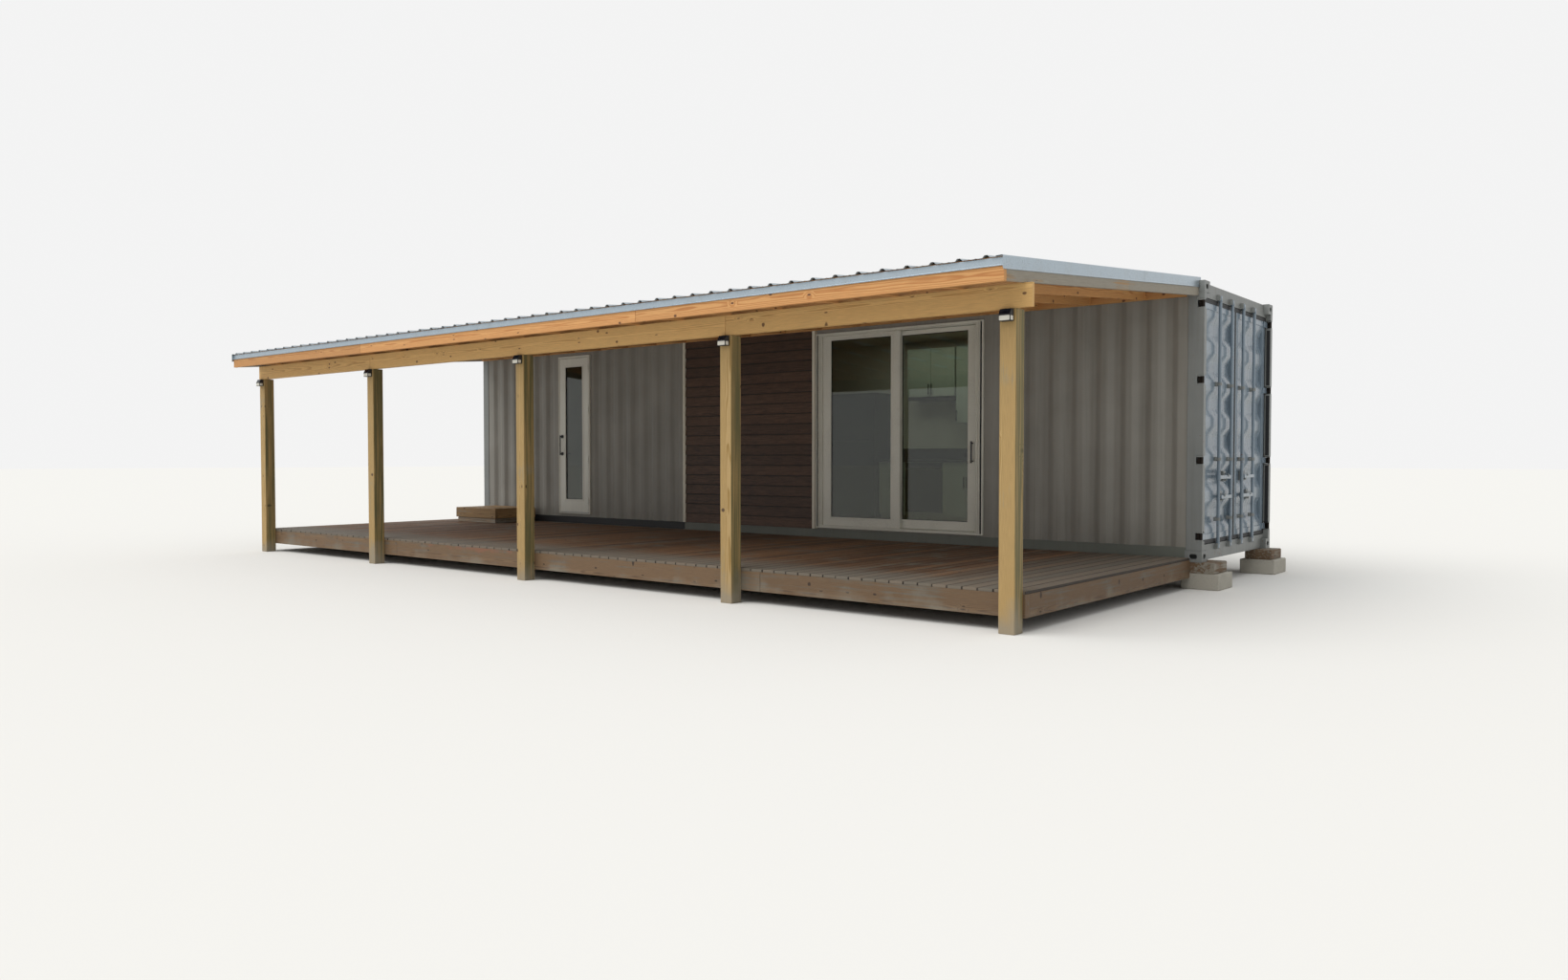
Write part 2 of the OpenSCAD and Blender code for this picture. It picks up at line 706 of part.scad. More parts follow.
// Pull of the sliding sash: an upright bar on two stubs
pull_stub = 34;
pull_stub_d = 16;
pull_w = 18;
pull_t = 12;
module sliding_handle() color(black) placed() {
    x = moving_x + sash_w - sash_stile / 2;
    z = base_z + pull_z;
    for (s = [-1, 1]) translate([x, track_in, z + s * (pull_l / 2 - 1.5 * pull_stub_d)])
        rotate([90, 0, 0]) cylinder(d = pull_stub_d, h = pull_stub);
    block([x - pull_w / 2, track_in - pull_stub - pull_t, z - pull_l / 2],
        [x + pull_w / 2, track_in - pull_stub, z + pull_l / 2]);
}

// One cargo door leaf, drawn for the front half of the doorway
cargo_y0 = door_post_w + leaf_gap;
cargo_y1 = mid_y - leaf_gap / 2;
cargo_x0 = door_face_x - cargo_t;
cargo_stile = 100;
blade_l = 70;
panel_in = 8;
panel_z = door_bottom + cargo_stile;
panel_h = door_top - door_bottom - 2 * cargo_stile;
panel_line = wave(panel_h, cargo_pitch, side_depth - 4);
module cargo_leaf() {
    difference() {
        block([cargo_x0, cargo_y0, door_bottom], [door_face_x, cargo_y1, door_top]);
        block([cargo_x0 - 1, cargo_y0 + cargo_stile, door_bottom + cargo_stile],
            [door_face_x + 1, cargo_y1 - cargo_stile, door_top - cargo_stile]);
    }
    // Panel with level corrugations
    translate([door_face_x - panel_in, cargo_y1 - cargo_stile, panel_z]) rotate([90, 0, 0])
        linear_extrude(cargo_y1 - cargo_y0 - 2 * cargo_stile)
            polygon([for (p = sheet_outline(panel_line, sheet_t)) [-p[1], p[0]]]);
    // Hinge blades, each cranked from the leaf's face to its knuckle
    for (z = hinge_levels) difference() {
        union() {
            translate([hinge_x, hinge_in, z]) cylinder(d = knuckle_d, h = hinge_h, center = true);
            block([door_face_x, hinge_in - blade_t / 2, z - hinge_h / 2],
                [hinge_x, hinge_in + blade_t / 2, z + hinge_h / 2]);
            block([door_face_x, hinge_in - blade_t / 2, z - hinge_h / 2],
                [door_face_x + blade_t, cargo_y0 + blade_l, z + hinge_h / 2]);
        }
        translate([hinge_x, hinge_in, z]) cylinder(d = pin_d + 2 * pin_play, h = hinge_h + 2,
            center = true);
    }
}
module cargo_door_front() color(door_steel) placed() cargo_leaf();
module cargo_door_rear() color(door_steel) placed() translate([0, container_w, 0])
    mirror([0, 1, 0]) cargo_leaf();

// Lock bars of one leaf: each a round bar with a cam at both ends, brackets and a handle
bar_x = door_face_x + 30;
bar_past = 40;
bars = [mid_y - bar_outer, mid_y - bar_inner];
cam_w = 44;
cam_h = 50;
cam_back = 20;
cam_front = 14;
cam_gap = 20;
keeper_t = 14;
keeper_h = 60;
keeper_gap = 9;
keeper_out = 10;
handle_w = 40;
handle_t = 14;
bracket_w = 90;
bracket_h = 44;
// How far the panel's surface lies behind the leaf's face beside a bracket at a level z
function panel_depth(z) = panel_in + min([for (s = [-1, 1])
    lookup(z + s * bracket_h / 2 - panel_z, panel_line)]);
module lock_bars() {
    for (y = bars) {
        translate([bar_x, y, door_bottom - bar_past]) cylinder(d = bar_d,
            h = door_top - door_bottom + 2 * bar_past);
        for (z = [door_bottom - cam_gap - cam_h, door_top + cam_gap])
            block([bar_x - cam_back, y - cam_w / 2, z], [bar_x + cam_front, y + cam_w / 2,
                z + cam_h]);
        for (level = bracket_z, z = base_z + level)
            block([door_face_x - panel_depth(z), y - bracket_w / 2, z - bracket_h / 2],
                [bar_x, y + bracket_w / 2, z + bracket_h / 2]);
    }
    for (i = [0, 1]) translate([0, bars[i], base_z + handle_z[1 - i]]) mirror([0, i, 0])
        block([bar_x + cam_back - handle_t, -handle_w / 2, -handle_w / 2], [bar_x + cam_back,
            handle_l, handle_w / 2]);
}
module lock_bars_front() color(door_steel) placed() lock_bars();
module lock_bars_rear() color(door_steel) placed() translate([0, container_w, 0])
    mirror([0, 1, 0]) lock_bars();

// Hinge lugs and pins on the corner posts, and the cam keepers on the header and sill
module door_post_fittings() color(steel) placed() both_sides() {
    lug_z = hinge_h / 2 + lug_gap + lug_t / 2;
    for (z = hinge_levels) {
        translate([hinge_x, hinge_in, z]) cylinder(d = pin_d, h = 2 * lug_z + lug_t,
            center = true);
        for (s = [-1, 1]) translate([0, 0, z + s * lug_z])
            block([container_l - notch, face_in, -lug_t / 2], [container_l - face_in,
                hinge_in + knuckle_d / 2, lug_t / 2]);
    }
    past_cam = (keeper_h - cam_h) / 2;
    for (y = bars, z = [door_bottom - cam_gap - cam_h - past_cam, door_top + cam_gap - past_cam],
        s = [-1, 1]) translate([0, y + s * ((cam_w + keeper_t) / 2 + keeper_gap), z])
            block([door_face_x + header_out, -keeper_t / 2, 0], [bar_x + keeper_out,
                keeper_t / 2, keeper_h]);
}

// Five timber posts standing on the ground in front of the deck
module porch_posts() color(timber) placed() for (x = post_x)
    block([x, post_front, 0], [x + porch_post, post_front + porch_post, beam_bottom]);

// Two boards on edge along the tops of the posts
module porch_beam() color(timber) placed() {
    block([beam_x, post_front, beam_bottom], [beam_end, post_front + board_t, beam_top]);
    block([beam_x, post_front + board_t, beam_bottom], [last_post_x + porch_post,
        post_front + 2 * board_t, beam_top]);
}

// Ledger along the container's front side
ledger_y = -board_t;
module roof_ledger() color(new_timber) placed() block([roof_x + board_t, ledger_y,
    rafter_under(ledger_y)], [inside_end, 0, rafter_top(ledger_y)]);

// A board down the slope with plumb ends, between y0 and y1
module sloped_board(x, y0, y1, thick) translate([x, 0, 0]) rotate([90, 0, 90])
    linear_extrude(thick) polygon([[y0, rafter_under(y0)], [y1, rafter_under(y1)],
        [y1, rafter_top(y1)], [y0, rafter_top(y0)]]);
rafter_count = floor((roof_l - 2 * board_t) / rafter_pitch);
module rafters() color(new_timber) placed() for (i = [1:rafter_count])
    sloped_board(roof_x + i * rafter_pitch, eave_y + board_t, ledger_y, board_t);

// Outer boards down both sloping edges of the roof
module rake_boards() color(grey_timber) placed() for (x = [roof_x, roof_end - board_t])
    sloped_board(x, eave_y + board_t, 0, board_t);

// Board along the eave, over the rafters' ends
module eave_fascia() color(new_timber) placed() block([roof_x, eave_y, rafter_under(eave_y)],
    [roof_end, eave_y + board_t, rafter_under(eave_y) + rafter_h]);

// Flat boards across the rafters that the roofing is screwed to
purlin_w = 89;
purlin_y0 = eave_y + purlin_t * sin(roof_slope);
purlin_y1 = -board_t - purlin_w;
module purlins() color(new_timber) placed() for (i = [0:purlin_count - 1]) {
    y = purlin_y0 + i * (purlin_y1 - purlin_y0) / (purlin_count - 1);
    translate([roof_x, y, rafter_top(y) + lay_gap / 2]) rotate([roof_slope, 0, 0])
        cube([roof_l, purlin_w, purlin_t]);
}

// Ribbed metal roofing, one sheet's outline carried down the slope
rib_count = floor(roof_l / rib_pitch);
rib_margin = (roof_l - rib_count * rib_pitch) / 2;
function rib_line() = concat([[0, 0]], [for (i = [0:rib_count - 1], p = [[-32, 0], [-12, rib_h],
    [12, rib_h], [32, 0]]) [rib_margin + (i + 0.5) * rib_pitch + p[0], p[1]]], [[roof_l, 0]]);
module roof_sheets() color("#c9cdd0") placed() translate([roof_x, roof_front,
    purlin_top(roof_front)]) rotate([90 + roof_slope, 0, 0]) mirror([0, 0, 1])
        linear_extrude((roof_lap - roof_front) / cos(roof_slope))
            polygon(sheet_outline(rib_line(), metal_t));

// Folded metal trim along the eave and down both rakes, three strips that don't touch
flange_w = 60;
trim_gap = 0.3;
module roof_trim() color("#d3d7da") placed() {
    z = purlin_top(eave_y) - 1;
    block([roof_x + trim_gap, eave_y - metal_t, z - eave_drop + 1], [roof_end - trim_gap, eave_y, z]);
    lay = metal_t / cos(roof_slope) + lay_gap;
    for (x = [roof_x - metal_t, roof_end]) translate([x, 0, 0]) rake_sheet(metal_t, roof_front,
        0, lay + metal_t - trim_drop, lay + metal_t);
    for (x = [roof_x, roof_end - flange_w]) translate([x - metal_t, 0, 0])
        rake_sheet(flange_w + 2 * metal_t, roof_front, roof_lap, lay, lay + metal_t);
}
// A plate of some width in X between two distances y and two heights over the purlins
module rake_sheet(width, y0, y1, low, high) rotate([90, 0, 90]) linear_extrude(width)
    polygon([for (p = [[y0, low], [y1, low], [y1, high], [y0, high]])
        [p[0], purlin_top(p[0]) + p[1]]]);

// Deck surface
module deck_boards() color("#7a5f4a") placed() block([deck_x, -deck_depth, joist_top],
    [deck_end, 0, deck_top]);

// Rim boards of the deck, the front one doubled, and joists along the container between
// the two end rims
module deck_frame() color("#8a6e52") placed() {
    z = joist_top - joist_h;
    count = ceil((deck_depth - 2 * board_t) / joist_pitch);
    pitch = (deck_depth - 3 * board_t) / count;
    block([deck_x, -deck_depth, z], [deck_end, 2 * board_t - deck_depth, joist_top]);
    for (x = [deck_x, deck_end - board_t])
        block([x, 2 * board_t - deck_depth + seat_gap, z], [x + board_t, 0, joist_top]);
    for (i = [1:count]) translate([0, 2 * board_t - deck_depth + i * pitch, 0])
        block([deck_x + board_t + seat_gap, 0, z], [deck_end - board_t - seat_gap, board_t,
            joist_top]);
}

// Small solar lamps on the posts' front faces, each with a sloping top
lamp_out = 60;
lamp_under = 5;
lamp_top_out = 38;
module post_lights() color(black) placed() for (x = post_x)
    translate([x + (porch_post - lamp_w) / 2, post_front, beam_bottom - lamp_under - lamp_h])
        rotate([90, 0, 90]) linear_extrude(lamp_w) polygon([[0, 0], [0, lamp_h], [-lamp_top_out,
            lamp_h], [-lamp_out, lamp_h - 2 * (lamp_out - lamp_top_out)], [-lamp_out, 0]]);

// Low timber step on the deck near the entry door
step_x = 450;
step_y = -870;
step_l = 1050;
step_w = 780;
step_h = 230;
module porch_step() color(new_timber) placed() translate([step_x, step_y, deck_top])
    difference() {
        cube([step_l, step_w, step_h]);
        translate([board_t, board_t, -1]) cube([step_l - 2 * board_t, step_w - 2 * board_t,
            step_h - board_t + 1]);
    }

// Kitchen along the rear wall behind the sliding door: a tall unit, base units with a
// worktop over a recessed plinth, and wall units at two levels
plinth_h = 100;
plinth_in = 50;
worktop_t = 38;
worktop_out = 20;
tall_depth = 700;
unit_gap = 20;
left_unit_in = 300;
module kitchen_units() color("#b9bfb8") placed() {
    back = container_w - lining_in;
    block([kitchen_x, back - tall_depth, floor_top], [kitchen_x + tall_w, back,
        floor_top + tall_h]);
    x = kitchen_x + tall_w + unit_gap;
    top = floor_top + worktop_h;
    block([x, back - base_depth + plinth_in, floor_top], [x + base_l, back,
        floor_top + plinth_h]);
    block([x, back - base_depth, floor_top + plinth_h], [x + base_l, back, top - worktop_t]);
    block([x, back - base_depth - worktop_out, top - worktop_t], [x + base_l, back, top]);
    left_end = x + left_unit_in + left_unit_w;
    block([x + left_unit_in, back - wall_depth, floor_top + left_unit_h], [left_end, back,
        floor_top + unit_top_h]);
    block([left_end + unit_gap, back - wall_depth, floor_top + right_unit_h], [x + base_l, back,
        floor_top + unit_top_h]);
}

concrete_pads();
timber_blocks();
corner_castings();
corner_posts();
side_rails();
end_rails();
cross_members();
cabin_floor();
container_roof();
rear_wall();
end_wall();
front_wall();
siding_panel();
siding_trim();
wall_lining();
ceiling_lining();
entry_frame();
slider_frame();
slider_fixed_sash();
slider_fixed_glass();
door_post_fittings();
porch_posts();
porch_beam();
roof_ledger();
rafters();
purlins();
roof_sheets();
roof_trim();
eave_fascia();
rake_boards();
deck_boards();
deck_frame();
post_lights();
porch_step();
kitchen_units();
entry_door();
entry_glass();
entry_handle();
sliding_sash();
sliding_glass();
sliding_handle();
cargo_door_front();
lock_bars_front();
cargo_door_rear();
lock_bars_rear();
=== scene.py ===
# %% [markdown]
# A steel shipping container made into a cabin, with a lean-to porch of pine along one side.
# The construction is finished before this lesson starts: it comes in as a fixed frame, and
# everything here dresses it. Each step says what the real piece is, how it could be made
# and why this way was chosen. All sizes are in metres.

# %% Load the frame
import math
from functools import partial

import bmesh
import bpy
import numpy as np
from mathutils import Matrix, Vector


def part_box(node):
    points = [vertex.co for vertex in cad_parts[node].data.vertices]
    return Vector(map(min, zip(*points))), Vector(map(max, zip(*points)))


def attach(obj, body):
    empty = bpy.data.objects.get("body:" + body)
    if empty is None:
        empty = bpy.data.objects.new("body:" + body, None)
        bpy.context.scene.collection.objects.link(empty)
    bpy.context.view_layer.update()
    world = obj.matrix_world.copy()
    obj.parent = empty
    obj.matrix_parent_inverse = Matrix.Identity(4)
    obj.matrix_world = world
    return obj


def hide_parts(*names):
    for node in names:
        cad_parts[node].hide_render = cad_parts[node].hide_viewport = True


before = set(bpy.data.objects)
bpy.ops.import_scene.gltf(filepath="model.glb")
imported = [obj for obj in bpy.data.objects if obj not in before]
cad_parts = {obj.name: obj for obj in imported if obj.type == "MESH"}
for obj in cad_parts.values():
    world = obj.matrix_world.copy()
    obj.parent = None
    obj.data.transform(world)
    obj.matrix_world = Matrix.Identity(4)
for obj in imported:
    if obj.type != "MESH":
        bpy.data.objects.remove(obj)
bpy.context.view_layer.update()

# %% [markdown]
# The container's own corner is the handiest origin: x runs from the plain end to the cargo
# doors, y from the porch side to the back, z up from the ground. The eight corner castings
# give that corner, so every shape below is worked out in container coordinates and one
# function moves it to the frame's origin.

# %% Container coordinates
castings = np.array(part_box("corner_castings"))
ORIGIN = castings[0] * [1, 1, 0]
LENGTH, WIDTH, TOP = castings[1] - ORIGIN
BASE = castings[0][2]
rng = np.random.default_rng(40)


def near(name):
    """Lowest and highest corner of a CAD node, in container coordinates."""
    return np.array(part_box(name)) - ORIGIN


print(f"container {LENGTH:.3f} x {WIDTH:.3f} m, underside {BASE:.3f} above the ground")

# %% [markdown]
# The camera stands where the photographer stood: a wide lens at eye level, off the porch's
# right-hand corner. Its place and lens come from matching the container's corners, posts
# and roof edge with the picture by least squares. The floor is one pale plane. A wide soft
# lamp and the sky's own light come from above. The eye, the panes and bright metal see the
# sky almost white, while it lights the cabin at a plainer level. A small lamp under the
# ceiling, which nothing sees, stands for the daylight that a room behind wide panes has.

# %% Camera
CAMERA_AT = Vector((9.835, -10.567, 1.355))
CAMERA_LOOKS = Vector((-0.629, 0.776, -0.029))
FOCAL_SHARE = 1146 / 1640
VIEW_REACH = 400

scene = bpy.context.scene


def stood(name, data):
    """Puts a new camera, lamp or mesh into the scene."""
    obj = bpy.data.objects.new(name, data)
    scene.collection.objects.link(obj)
    return obj


camera = stood("camera", bpy.data.cameras.new("camera"))
camera.data.sensor_fit = "HORIZONTAL"
camera.data.lens = camera.data.sensor_width * FOCAL_SHARE
camera.data.clip_end = VIEW_REACH
camera.location = CAMERA_AT
camera.rotation_euler = CAMERA_LOOKS.to_track_quat("-Z", "Y").to_euler()
scene.camera = camera
scene.view_settings.view_transform = "Standard"
print(f"lens {camera.data.lens:.1f} mm on a {camera.data.sensor_width:.0f} mm sensor")

# %% [markdown]
# Two helpers carry every material. The first turns a hex colour, as a paint chart gives it,
# into linear light. The second adds one shader node with its settings and its links, so a
# finish reads from top to bottom like a recipe.

# %% Colour and node helpers
def paint(code):
    """sRGB hex to linear RGBA: c/12.92 below 0.04045, else ((c + 0.055)/1.055)^2.4."""
    c = np.array([int(code[i:i + 2], 16) for i in (1, 3, 5)]) / 255
    return (*np.where(c <= 0.04045, c / 12.92, ((c + 0.055) / 1.055) ** 2.4), 1.0)


def add(tree, kind, *sources, stops=(), **told):
    """Adds one node. kind may name its operation or data type after a space. The sources feed
    its open inputs in order; a capitalised name feeds the input so named, _ for a space, and
    any other name is a setting. A hex code is a colour, and stops are a ramp's."""
    kind, _, mode = kind.partition(" ")
    n = tree.nodes.new("ShaderNode" + kind)
    if mode:
        told["operation" if hasattr(n, "operation") else "data_type"] = mode
    feeds = []
    for key, value in told.items():
        if key[0].isupper():
            feeds.append((n.inputs[key.replace("_", " ")], value))
        else:
            setattr(n, key, value)
    for k, (place, colour) in enumerate(stops):
        e = n.color_ramp.elements[k] if k < 2 else n.color_ramp.elements.new(place)
        e.position, e.color = place, paint(colour)
    for socket, source in [*zip((s for s in n.inputs if s.enabled), sources), *feeds]:
        if isinstance(source, bpy.types.Node):
            source = next(s for s in source.outputs if s.enabled)
        if isinstance(source, bpy.types.NodeSocket):
            tree.links.new(source, socket)
        else:
            socket.default_value = paint(source) if isinstance(source, str) else source
    return n


def nodes_of(owner):
    """Empties the node tree of a material or world, and gives the adder for it."""
    owner.use_nodes = True
    owner.node_tree.nodes.clear()
    return partial(add, owner.node_tree)


def finish_of(name):
    """A new material and the adder for its nodes."""
    m = bpy.data.materials.new(name)
    return m, nodes_of(m)


print("helpers ready")

# %% Studio: floor, sky and lamps
FLOOR_HALF = 150.0
SKY_FOR_EYE, SKY_LIGHT = 0.90, 0.62
LAMP_STRENGTH, LAMP_SPREAD = 2.1, math.radians(60)
LAMP_LOOKS = Vector((0.30, 0.62, -1.0))
ROOM_LAMP_SIZE, ROOM_LAMP_WATTS, ROOM_LAMP_X = (4.0, 1.2), 25.0, 9.0

floor = stood("floor", bpy.data.meshes.new("floor"))
floor.data.from_pydata([(x * FLOOR_HALF, y * FLOOR_HALF, 0) for x, y in
                        ((-1, -1), (1, -1), (1, 1), (-1, 1))], [], [(0, 1, 2, 3)])
# Matt floor paint: pale and even, with no gloss
studio, n = finish_of("studio_floor_painted")
n("OutputMaterial", Surface=n("BsdfDiffuse", Color="#e6e5e1"))
floor.data.materials.append(studio)

scene.world = bpy.data.worlds.new("studio_sky")
n = nodes_of(scene.world)
rays = n("LightPath").outputs
seen = n("Math MAXIMUM", rays["Is Camera Ray"], rays["Is Transmission Ray"])
seen = n("Math MAXIMUM", seen, rays["Is Glossy Ray"])
level = n("MapRange", seen, 0, 1, SKY_LIGHT, SKY_FOR_EYE)
n("OutputWorld", Surface=n("Background", Color="#ffffff", Strength=level))

lamp = stood("soft_lamp", bpy.data.lights.new("soft_lamp", "SUN"))
lamp.data.energy, lamp.data.angle = LAMP_STRENGTH, LAMP_SPREAD
lamp.rotation_euler = LAMP_LOOKS.to_track_quat("-Z", "Y").to_euler()

room = stood("room_lamp", bpy.data.lights.new("room_lamp", "AREA"))
room.data.shape = "RECTANGLE"
room.data.size, room.data.size_y = ROOM_LAMP_SIZE
room.data.energy = ROOM_LAMP_WATTS
room.location = ORIGIN + [ROOM_LAMP_X, WIDTH / 2, near("ceiling_lining")[0][2] - 0.02]
room.visible_camera = room.visible_glossy = room.visible_transmission = False
print("studio ready")

# %% [markdown]
# Every new piece is a grid of points worked out as one numpy array. This function turns the
# arrays into a mesh, moves it to the frame's origin, smooths it up to an angle, lets it ride
# on the body that carries it and hides the CAD node it stands for.

# %% Mesh helper
SMOOTH_UP_TO = math.radians(32)


def placed(obj, body, stands_for):
    """Links an object, lets it ride on its body and hides the CAD node it stands for."""
    scene.collection.objects.link(obj)
    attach(obj, body)
    if stands_for:
        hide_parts(stands_for)
    return obj


def piece(name, shape, material, body="cabin", stands_for=None, slot=None, caps=None,
          **vectors):
    """One mesh object from shape, (points, quads). caps is an (m, k) array of closing
    polygons; each entry of vectors is an (n, 3) array kept with the points under its name."""
    points = np.reshape(shape[0], (-1, 3)) + ORIGIN
    groups = [shape[1]] if caps is None else [shape[1], caps]
    corners = np.concatenate([g.ravel() for g in groups])
    sizes = np.concatenate([np.full(len(g), g.shape[1]) for g in groups])
    mesh = bpy.data.meshes.new(name)
    mesh.vertices.add(len(points))
    mesh.vertices.foreach_set("co", points.ravel())
    mesh.loops.add(len(corners))
    mesh.loops.foreach_set("vertex_index", corners)
    mesh.polygons.add(len(sizes))
    mesh.polygons.foreach_set("loop_start", np.cumsum(sizes) - sizes)
    mesh.update(calc_edges=True)
    mesh.validate()
    for key, values in vectors.items():
        kept = mesh.attributes.new(key, "FLOAT_VECTOR", "POINT")
        kept.data.foreach_set("vector", values.ravel())
    mesh.shade_smooth()
    mesh.set_sharp_from_angle(angle=SMOOTH_UP_TO)
    mesh.materials.append(material)
    obj = placed(bpy.data.objects.new(name, mesh), body, stands_for)
    # Broad faces set the normals, so a flat board with eased edges still looks flat
    obj.modifiers.new("flat_faces", "WEIGHTED_NORMAL").keep_sharp = True
    return obj


def strip_faces(rows, columns):
    """Quads of a grid of points with that many rows and columns, its columns closed."""
    r = np.arange(rows - 1)[:, None] * columns
    c = np.arange(columns)[None, :]
    after = (c + 1) % columns
    quads = np.stack([r + c, r + after, r + columns + after, r + columns + c], -1)
    return quads.reshape(-1, 4)


def tubes(name, points, material, **told):
    """One piece of closed tubes, from points (tube, ring, point of the ring, 3)."""
    count, rows, columns = points.shape[:3]
    ring = np.arange(columns)
    ends = np.stack([ring[::-1], ring + (rows - 1) * columns])
    firsts = np.arange(count)[:, None, None] * rows * columns
    quads, caps = ((f + firsts).reshape(-1, f.shape[1]) for f in
                   (strip_faces(rows, columns), ends))
    return piece(name, (points, quads), material, caps=caps, **told)


def outward(points, faces):
    """A closed shell, its faces turned round if its volume, the sum of p0 . (p1 x p2) / 6
    over its triangles, comes out negative."""
    p = points[faces] - points.mean(0)
    volume = sum(np.einsum("ij,ij", p[:, 0], np.cross(p[:, k], p[:, k + 1]))
                 for k in range(1, faces.shape[1] - 1))
    return points, faces if volume > 0 else faces[:, ::-1]


def capped(rings):
    """(points, quads) of one tube from its rings (ring, point of the ring, 3), each end closed
    by quads between the two halves of its ring."""
    rows, columns = rings.shape[:2]
    half = np.arange(columns // 2 - 1)
    cap = np.stack([half, half + 1, columns - 2 - half, columns - 1 - half], 1)
    last = (rows - 1) * columns
    quads = np.concatenate([strip_faces(rows, columns), cap[:, ::-1], cap + last])
    return outward(rings.reshape(-1, 3), quads)


def joined(shapes):
    """Several (points, quads) shapes as one."""
    firsts = np.cumsum([0] + [len(p) for p, _ in shapes[:-1]])
    return (np.concatenate([p for p, _ in shapes]),
            np.concatenate([f + k for (_, f), k in zip(shapes, firsts)]))


print("mesh helper ready")

# %% [markdown]
# All the porch is sawn pine. A board could be a scaled cube with a bevel, but then the grain
# would not know which way the board runs. So one function lays out any number of boards at
# once: a rectangle with eased corners is carried from start to end, drawn in a little at
# both ends, and each point keeps its place inside the log that the board was sawn from.
# The log's heart lies just outside most boards, which is what draws arches on their faces.

# %% Boards
EASE = 0.003


def eased_section(wide, thick, ease, arc=2):
    """Points round a rectangle with quarter-circle corners, for arrays of boards:
    (board, point, 2), counter-clockwise seen from the end."""
    quarter = np.linspace(0, math.pi / 2, arc + 1)
    angle = np.concatenate([quarter + k * math.pi / 2 for k in range(4)])
    corner = np.repeat([(1, 1), (-1, 1), (-1, -1), (1, -1)], arc + 1, 0)
    half = np.stack([wide, thick], -1)[:, None] / 2 - ease
    return corner * half + ease * np.stack([np.cos(angle), np.sin(angle)], -1)


def boards(name, material, start, end, wide_way, wide, thick, ease=EASE, slant=0.0, bow=0.0,
           spans=6, arc=2, **told):
    """Boards from start to end. A point is start + s (end - start) + w W + t T, with W the
    unit vector across the width, T across the thickness, (w, t) round the eased rectangle.
    bow bends a board by bow sin(pi s) across T; slant shifts the cuts by slant times w."""
    start, end = np.atleast_2d(start).astype(float), np.atleast_2d(end).astype(float)
    count = max(len(start), len(end))
    start, end, w_way = (np.broadcast_to(a, (count, 3)) for a in (start, end, wide_way))
    wide, thick, bow = (np.broadcast_to(np.asarray(a, float), count) for a in (wide, thick, bow))
    length = np.linalg.norm(end - start, axis=1)
    along = (end - start) / length[:, None]
    w_way = w_way - (w_way * along).sum(1)[:, None] * along
    w_way = w_way / np.linalg.norm(w_way, axis=1)[:, None]
    t_way = np.cross(along, w_way)
    inner = np.linspace(0, 1, spans + 1)
    s = np.concatenate([[0], inner[:1], inner, inner[-1:], [1]])
    # Each end is drawn in over one corner radius
    drawn = np.zeros((len(s), 1))
    drawn[[0, -1]] = 0.7 * ease
    metres = s[None, :] * length[:, None]
    for k, inset in ((1, 0.35 * ease), (2, ease)):
        metres[:, k], metres[:, -1 - k] = inset, length - inset
    section = eased_section(wide, thick, ease, arc)[:, None]
    w, t = np.moveaxis(section - np.sign(section) * drawn[..., None], -1, 0)
    bend = bow[:, None] * np.sin(math.pi * s)
    place = metres[:, :, None] + slant * w
    step = [a[..., None] * way[:, None, None, :] for a, way in
            ((place, along), (w, w_way), (t + bend[:, :, None], t_way))]
    points = start[:, None, None, :] + step[0] + step[1] + step[2]
    # Where the log's heart lies from the board's middle, and how far up the log it was cut
    heart = [rng.uniform(-9, 9, count), rng.uniform(-0.35, 0.35, count) * wide,
             rng.choice([-1, 1], count) * (thick / 2 + rng.uniform(0.01, 0.06, count))]
    lean = np.concatenate([np.zeros((count, 1)), rng.uniform(-0.012, 0.012, (count, 2))], 1)
    grain = np.stack([place, w, t], -1) + np.stack(heart, 1)[:, None, None] \
        + lean[:, None, None] * place[..., None]
    tone = np.broadcast_to(rng.uniform(0, 1, (count, 1, 1, 3)), points.shape)
    return tubes(name, points, material, grain=grain, tone=tone, **told)


print("board function ready")

# %% [markdown]
# Pine shows three things: growth rings, pale in spring and dark in summer, knots where the
# branches left the heart, and fine fibres along the board. The rings are the distance from
# the log's heart, a knot is a spoke from the heart, and the fibres are noise drawn out
# along the log. Age goes on top: grey where rain reaches, soil near the ground.

